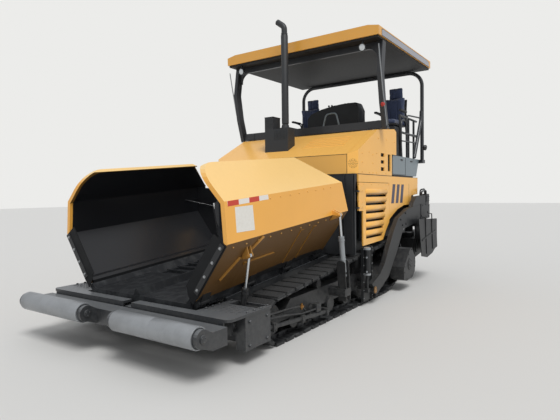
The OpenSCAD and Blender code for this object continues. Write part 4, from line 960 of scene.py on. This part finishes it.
def stuffed(name, low, high, lean, middle, cap, channels):
    """A foam pad blown up by a cloth simulation from a slimmer block, then sewn with channels along its length."""
    bm = bmesh.new()
    add_box(bm, low, high, 26)
    bmesh.ops.transform(bm, matrix=Matrix.Translation(middle) @ Matrix.Rotation(lean, 4, "X"), verts=bm.verts)
    pad = piece(name, bm, seat_cloth, "machine", 180)
    bpy.context.view_layer.objects.active = pad
    remesh = pad.modifiers.new("even", "REMESH")
    remesh.mode = "VOXEL"
    remesh.voxel_size = 0.008
    bpy.ops.object.modifier_apply(modifier="even")
    start = [v.co.copy() for v in pad.data.vertices]
    cloth = pad.modifiers.new("foam", "CLOTH")
    cloth.settings.use_pressure = True
    cloth.settings.uniform_pressure_force = 4
    cloth.settings.effector_weights.gravity = 0
    cloth.settings.quality = 4
    for step in range(1, 16):
        bpy.context.scene.frame_set(step)
    bpy.ops.object.modifier_apply(modifier="foam")
    for vertex, rest in zip(pad.data.vertices, start):
        move = vertex.co - rest
        if move.length > cap:
            vertex.co = rest + move.normalized() * cap
    bpy.context.scene.frame_set(1)
    # Channels 9 mm deep and 7 mm to each side, only in the face that is sat on or leaned against
    square = Matrix.Rotation(-lean, 4, "X")
    for vertex in pad.data.vertices:
        local = square @ (vertex.co * 1000 - datum - Vector(middle))
        dip = sum(exp(-((local.x - x) / 7) ** 2) for x in channels)
        normal = vertex.normal.copy()
        vertex.co -= normal * 0.009 * dip * max(0.0, (square @ normal).z)
    pad.data.polygons.foreach_set("use_smooth", [True] * len(pad.data.polygons))
    soft = pad.modifiers.new("soft", "SUBSURF")
    soft.levels, soft.render_levels = 0, 1
    return pad


pads = {}
for part, low, high, lean, middle, cap, channels in (
        ("base", (-205, -215, -34), (205, 215, 34), 0.06, (seat_middle, 2225, 2700), 0.022, (-70, 70)),
        ("back", (-200, -250, -34), (200, 262, 34), radians(98), (seat_middle, 2552, 2915), 0.024, (-66, 66)),
        ("head", (-120, -122, -32), (120, 84, 32), radians(94), (seat_middle, 2632, 3282), 0.018, (0,))):
    pads[part] = stuffed(f"seat_{part}_left", low, high, lean, middle, cap, channels)
for part, pad in pads.items():
    other = pad.copy()
    other.data = pad.data.copy()
    other.name = f"seat_{part}_right"
    other.data.transform(Matrix.Scale(-1, 4, (1, 0, 0)))
    other.data.flip_normals()
    bpy.context.scene.collection.objects.link(other)
    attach(other, "machine")
    for side, one in (("left", pad), ("right", other)):
        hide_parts(f"seat_{side}")


def seat_shell(bm):
    """The black shell, slide rails, bellows and arm rests that carry the pads."""
    add_box(bm, (seat_middle - 215, 2010, 2640), (seat_middle + 215, 2470, 2668), 10)
    lean = Matrix.Rotation(radians(-8), 4, "X")
    add_box(bm, (seat_middle - 200, 2592, 2700), (seat_middle + 200, 2612, 3150), 9, lean)
    for i in range(4):
        half, ends = 165 - i % 2 * 14, i % 2 * 12
        foot = 2598 + i * 11
        add_box(bm, (seat_middle - half, 2060 + ends, foot), (seat_middle + half, 2410 - ends, foot + 13), 5)
    for side in (-1, 1):
        x = seat_middle + side * 222
        add_tube(bm, rounded([(x, 2560, 2690), (x, 2520, 2880), (x, 2260, 2905)], 60), 11)
        add_box(bm, (x - 24, 2210, 2890), (x + 24, 2500, 2926), 12)
        add_tube(bm, [(seat_middle + side * 60, 2620, 3100), (seat_middle + side * 60, 2640, 3260)], 8)


pair("seat_shell", seat_shell, frame_black)

# Canopy frame and roof
# Rectangular posts lean forward to a moulded yellow roof with a black ribbed lining; a tube hoop carries its rear edge.
paint_nodes(frame_grey, "front_portal", "rear_hoop")
roof_yellow = painted_steel("yellow_gelcoat_on_roof", "#E9A843", "#C8AE7C", 0.3, 0.5, 0.006, 0.2)
paint_nodes(roof_yellow, "canopy_roof")
lining_black = painted_steel("black_roof_lining", "#101112", "#3A3A3C", 0.6, 0.0, 0.01, 0.2)
paint_nodes(lining_black, "canopy_lining")
roof_tilt = atan2(50, 2415)


def on_roof(x, d, z):
    """A place in the roof's axes: across, back from its front edge, and up from its lower edge."""
    return Vector((x, 615 + d * cos(roof_tilt) - z * sin(roof_tilt), 3680 + d * sin(roof_tilt) + z * cos(roof_tilt)))


def roof_ribs(bm):
    """Pressed ribs on top of the roof."""
    section = ((-55, 149), (-32, 162), (32, 162), (55, 149))
    for x in (300, 820):
        add_skin(bm, [[on_roof(x + out, d, z) for out, z in section] for d in (180, 2230)])


def roof_bars(bm):
    """Stiffeners under the lining."""
    for d in (420, 900, 1380, 1860):
        add_box(bm, on_roof(0, d, -14), on_roof(1278, d + 60, 10), 4)


# The work lamps: one under each front corner of the roof, one on the rear hoop, each with the way it faces
roof_lamp, roof_lamp_way = (1080, 700, 3565), (0, -1, -0.28)
rear_lamp, rear_lamp_way = (1322, 2640, 2293), (0.7, 0.7, -0.1)


def roof_lamps(bm):
    """A cast housing with fins on a bent bracket."""
    x, d, z = roof_lamp
    add_box(bm, (x - 6, d - 40, z - 5), (x + 6, d, z + 90), 2)
    housing = [(0, 20), (6, 44), (40, 52), (62, 54), (66, 50), (66, 46), (58, 44)]
    add_turned(bm, housing, roof_lamp, roof_lamp_way, 28)
    for i in range(4):
        add_turned(bm, [(0, 48), (3, 48)], (x, d - 6 - i * 9, z - 2 - i * 2.4), roof_lamp_way, 28)


def lamp_lenses(bm):
    add_turned(bm, [(50, 46), (60, 44), (64, 20), (65, 1)], roof_lamp, roof_lamp_way, 28)
    add_turned(bm, [(44, 42), (52, 40), (55, 18), (56, 1)], rear_lamp, rear_lamp_way, 28)


# Pressed glass over a bright reflector glitters between its upright flutes
lamp_glass, tree, place = bare_material("lamp_lens_glass")
flutes = add_node(tree, "ShaderNodeTexWave", {"Scale": 20.0, "bands_direction": "X"}, {"Vector": place})
ridge = add_node(tree, "ShaderNodeBump", {"Strength": 0.5, "Distance": 0.002}, {"Height": flutes.outputs["Fac"]})
shader = add_node(tree, "ShaderNodeBsdfPrincipled", {"Base Color": srgb("#D8DDE0"), "Roughness": 0.08, "Metallic": 0.5},
                  {"Normal": ridge})
add_node(tree, "ShaderNodeOutputMaterial", {}, {"Surface": shader})


def roof_inset(bm, inset, x0, x1):
    """The trim plate in the side of the roof; inset narrows its outline all round."""
    outline = [(110, 4), (110, 92), (150, 104), (2200, 104), (2320, 84), (2330, 4)]
    middle = Vector((1220, 54))
    spots = [(d - copysign(inset, d - middle.x), z - copysign(inset, z - middle.y)) for d, z in outline]
    add_skin(bm, [[on_roof(x, d, z) for d, z in spots] for x in (x0, x1)])


trim_silver = painted_steel("silver_grey_plastic_trim", "#A4A5AC", "#8E8C88", 0.3, 0.3, 0.006, 0.2)
pair("roof_inset_seals", lambda bm: roof_inset(bm, 0, 1338, 1341), seam_black_and_painted_shade)
pair("roof_insets", lambda bm: roof_inset(bm, 7, 1340, 1343), trim_silver)
pair("roof_ribs", roof_ribs, roof_yellow)
pair("lining_bars", roof_bars, lining_black)
pair("roof_lamps", roof_lamps, frame_black)
pair("lamp_lenses", lamp_lenses, lamp_glass)


def rear_work_lamp(bm):
    """Work lamp on a bracket off the rear hoop, turned towards the side."""
    housing = [(0, 18), (6, 38), (34, 46), (52, 48), (56, 45), (56, 41), (50, 40)]
    add_turned(bm, housing, rear_lamp, rear_lamp_way, 28)
    add_tube(bm, rounded([(1230, 2895, 2330), (1300, 2860, 2300), (1322, 2640, 2290)], 60), 10)


def portal_bolts(bm):
    add_bolts(bm, [(1320, d, z) for z in (2500, 2470) for d in (962, 1000)], outward, 10)
    add_bolts(bm, [(x, 940, z) for x in (1080, 1160, 1240) for z in (2475, 2530)], forward, 10)
    add_box(bm, (1040, 934, 2452), (1278, 942, 2553), 3)


def post_conduit(bm):
    """The bright cable conduit clipped along the outside of each post."""
    add_tube(bm, [(1324, 938, 2478), (1324, 800, 2918), (1324, 696, 3344), (1324, 648, 3560)], 8)


def hoop_braces(bm):
    """Raking legs that stay the rear hoop against the platform, and the rungs of the step between them."""
    add_tube(bm, rounded([(1232, 2850, 2960), (1232, 2830, 2800), (1232, 2450, 2110)], 90), 30)
    add_tube(bm, rounded([(1200, 2150, 2330), (1200, 2150, 2690), (1200, 2200, 2800), (1225, 2790, 2830)], 90), 13)
    add_tube(bm, [(1205, 1990, 2480), (1228, 2660, 2500)], 11)
    add_tube(bm, [(1205, 1900, 2350), (1228, 2590, 2370)], 11)


pair("rear_work_lamp", rear_work_lamp, frame_black)
pair("portal_bolts", portal_bolts, frame_grey)
pair("hoop_braces", hoop_braces, frame_grey)
pair("post_conduits", post_conduit, silver_enamel)

# Moulded red plastic, glossy and a little scuffed
stop_red = mottled("red_plastic_stop_button", ("#C23B34", "#9E2C28"), {"Scale": 80.0, "Detail": 3.0},
                   {"Roughness": 0.35})
stop_button = bmesh.new()
add_turned(stop_button, [(-4, 30), (8, 30), (10, 24), (26, 24), (30, 18), (30, 8)], (1319, 790, 2754), (1, -0.4, 0), 32)
piece("stop_button", stop_button, stop_red)


def hand_bows(bm):
    """Bent grab bows on the platform's edge beside the way up."""
    line = ((2080, 2100), (2040, 2420), (2060, 2700), (2250, 2745), (2330, 2560), (2340, 2100))
    add_tube(bm, rounded([(1140, d, z) for d, z in line], 130), 17)


pair("side_grab_bows", hand_bows, frame_grey)
hood_rail = bmesh.new()
add_tube(hood_rail, rounded([(x, 1400, z) for x, z in ((5, 2470), (98, 2822), (282, 2832), (375, 2470))], 60), 14)
piece("hood_grab_rail", hood_rail, box_grey)

# Exhaust and air intake
# A thin black pipe with clamps, a heat guard tube round its straight and a cut, turned tip; beside it the intake's box.
pipe_black = painted_steel("heat_resistant_black_on_pipe", "#2E3032", "#4D4841", 0.5, 0.05, 0.003)
paint_nodes(pipe_black, "exhaust", "intake_box")
pipe_x, pipe_d = -68, 420
clamps = bmesh.new()
for z in (2540, 3900):
    add_turned(clamps, [(-14, 44), (-12, 48), (12, 48), (14, 44)], (pipe_x, pipe_d, z), upward, 32)
    add_bolts(clamps, [(pipe_x, pipe_d - 48, z)], forward, 7)
add_turned(clamps, [(-2, 95), (10, 95), (14, 60), (60, 52)], (pipe_x, pipe_d, 2492), upward, 36)
heat_guard = [(0, 42), (0, 50), (4, 53), (1310, 53), (1316, 50), (1316, 42)]
add_turned(clamps, heat_guard, (pipe_x, pipe_d, 2566), upward, 40)
piece("exhaust_clamps", clamps, pipe_black)
cleaner = bmesh.new()
for i in range(6):
    low, high = 2520 + i * 25, 2531 + i * 25
    add_box(cleaner, (-378, 326, low), (-237, 331, high), 1)
    add_box(cleaner, (-389, 340, low), (-384, 510, high), 1)
for i in range(9):
    add_box(cleaner, (-215 + i * 26, 326, 2330), (-203 + i * 26, 331, 2470), 1)
add_box(cleaner, (-389, 326, 2672), (-226, 524, 2684), 4)
piece("intake_louvres", cleaner, pipe_black)

# Tow points, levelling cylinders and tow arms
# Thick flame-cut arms swing on bronze-bushed pins, and a cylinder slides each pin block up and down its guide.
arm_black = painted_steel("black_enamel_on_tow_arms", "#191B1D", road_dust, 0.5, 0.08, 0.004, 0.5, 0.1)
paint_nodes(arm_black, "tow_guides", "tow_blocks", "tow_arms")
# Cast bronze shines yellow where it is rubbed and goes brown elsewhere
bronze = mottled("cast_bronze_bush", ("#B98A4E", "#7A5A34"), {"Scale": 25.0, "Detail": 4.0},
                 {"Metallic": 0.9, "Roughness": 0.4})
pin_d, pin_z = 430, 205
levelling_x, levelling_d = 1290, 300


def hose_block(bm):
    """Junction box and valve block with their hoses, bolted on the rear end of the arm."""
    side_plate(bm, [(2060, 1270), (2100, 1340), (2270, 1448), (2760, 1466), (2760, 1322)], 1262, 1330)
    add_box(bm, (1262, 2790, 1306), (1334, 2985, 1486), 12)
    add_box(bm, (1334, 2815, 1350), (1340, 2960, 1452), 3)
    add_bolts(bm, [(1340, d, z) for d in (2830, 2945) for z in (1366, 1436)], outward, 7)
    for x, top in ((1285, 1560), (1310, 1532)):
        add_tube(bm, rounded([(x, 2600, 1420), (x, 2610, top), (x, 2860, top + 14), (x, 2870, 1480)], 70), 13)
        add_turned(bm, [(0, 17), (26, 17), (30, 14)], (x, 2600, 1430), upward, 12)


def tow_ring(bm):
    add_turned(bm, [(0, 38), (0, 46), (6, 46), (8, 43), (8, 32), (5, 30)], (1347, pin_d, pin_z), outward, 40)


def tow_pin_bolts(bm):
    add_bolts(bm, bolt_circle(1348, pin_d, pin_z, 18, (0.3, 2.4, 4.5)), outward, 6)


def guide_bolts(bm):
    add_bolts(bm, [(1262, d, z) for d in (247, 523) for z in range(110, 780, 110)], outward, 6)


def levelling_fittings(bm):
    """Glands at both ends of the levelling cylinder, and its two hose ports."""
    add_turned(bm, [(-2, 46), (22, 46), (24, 42)], (levelling_x, levelling_d, 422), upward, 36)
    add_turned(bm, [(-26, 46), (0, 46), (4, 40), (4, 20)], (levelling_x, levelling_d, 785), upward, 36)
    for z in (470, 660):
        add_turned(bm, [(38, 12), (58, 12), (60, 9), (70, 9)], (levelling_x, levelling_d, z), (0.3, -1, 0), 14)


def arm_fittings(bm):
    """Stiffener plate over the arm's rear end, and bolts at its knee and round the plate."""
    knee = [(1480, 1100), (1560, 1010), (1700, 1190), (1720, 1020)]
    rear = [(2560, 1290), (2560, 1090), (2760, 1300), (2760, 1090), (2920, 1280), (2920, 1090)]
    add_bolts(bm, [(1334, d, z) for d, z in knee + rear], outward, 14)
    side_plate(bm, [(2480, 1310), (2960, 1295), (2960, 1075), (2480, 1060)], 1333, 1342)


pair("arm_hose_blocks", hose_block, frame_black, "screed")
pair("grease_valves", grease_valve, bronze)
pair("tow_pin_rings", tow_ring, bronze, "tow_blocks")
pair("tow_pin_bolts", tow_pin_bolts, zinc, "tow_blocks")
pair("tow_guide_bolts", guide_bolts, zinc)
pair("levelling_fittings", levelling_fittings, silver_enamel)
pair("tow_arm_fittings", arm_fittings, arm_black, "screed")

# Screed and its extensions
# Heated sole plates under a welded frame, with sliding extensions, end gates, a walkway of punched plate and boxes.
screed_grey = painted_steel("black_enamel_on_screed", "#17191B", "#4A4945", 0.5, 0.08)
paint_nodes(screed_grey, "screed", "screed_ext_left", "screed_ext_right")
screed_lean = radians(8)


def on_screed(x, back, up):
    """A place in the tilted screed's axes, from its front lower edge."""
    return Vector((x, 2400 + back * cos(screed_lean) - up * sin(screed_lean),
                   400 + back * sin(screed_lean) + up * cos(screed_lean)))


def screed_block(bm, low, high, edge=0.0):
    low, high = Vector(low), Vector(high)
    middle, half = on_screed(*((low + high) / 2)), (high - low) / 2
    add_box(bm, middle - half, middle + half, edge, Matrix.Rotation(screed_lean, 4, "X"))


def walkway(bm):
    """Punched anti-slip plate: rows of raised round lips."""
    for i in range(15):
        for j in range(6):
            add_turned(bm, [(-1, 17), (4, 15), (4, 9), (0, 8)], on_screed(50 + i * 76, 815 + j * 55, 224),
                       (0, -sin(screed_lean), cos(screed_lean)), 12)


def screed_boxes(bm):
    """Control box, hose cover and tamper drive on top of the main screed, and the bolts along its front."""
    screed_block(bm, (480, 60, 329), (820, 300, 440), 10)
    screed_block(bm, (860, 90, 329), (1180, 260, 410), 10)
    screed_block(bm, (60, 60, 329), (130, 440, 430), 6)
    add_bolts(bm, [on_screed(x, -1, z) for x in range(220, 1141, 230) for z in (60, 270)], forward, 12)


def gate_fittings(bm):
    """End gate: stiffener ribs, spindles to set its height, and their cranks."""
    for back in (60, 420):
        screed_block(bm, (1438, back, 60), (1452, back + 26, 560), 3)
        add_tube(bm, [on_screed(1446, back + 13, z) for z in (540, 690)], 9)
        crank = ((1446, 680), (1420, 692), (1380, 692), (1380, 730))
        add_tube(bm, rounded([on_screed(x, back + 13, z) for x, z in crank], 14), 7)
    screed_block(bm, (1438, -150, 330), (1450, 640, 356), 3)


pair("walkway_lips", walkway, screed_grey, "screed")
pair("screed_top_boxes", screed_boxes, screed_grey, "screed")
pair("end_gate_fittings", gate_fittings, screed_grey, "extension_SIDE")

# Augers
# Cast screw segments bolted round a tube, hard and worn bright along their rims.
auger_steel = cast_steel("hard_cast_auger_steel", "#3A3835", "#77726A", 0.008)
auger_d, auger_z, shaft_r = 2170, 480, 45


def auger_screw(bm):
    """A shaft with its end collar, and three turns of a blade that is thinner at its rim than at its root."""
    length, turns, outer, thick = 1070, 3, 179, 16
    shaft = [(0, 31), (0, shaft_r), (1140, shaft_r), (1140, 20)]
    collar = [(1060, shaft_r), (1062, 60), (1130, 60), (1132, shaft_r)]
    for profile in (shaft, collar):
        add_turned(bm, profile, (60, auger_d, auger_z), outward, 36)
    rings = []
    for share in [i / (turns * 40) for i in range(turns * 40 + 1)]:
        a = pi - tau * turns * share
        rings.append([(120 + length * share + side * thick, auger_d + r * cos(a), auger_z + r * sin(a))
                      for r, side in ((shaft_r, -0.5), (outer, -0.35), (outer, 0.35), (shaft_r, 0.5))])
    add_skin(bm, rings)


for thing in pair("auger_screw", auger_screw, auger_steel, "auger_SIDE", "auger_SIDE"):
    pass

# Size of the finished model
low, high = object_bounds()
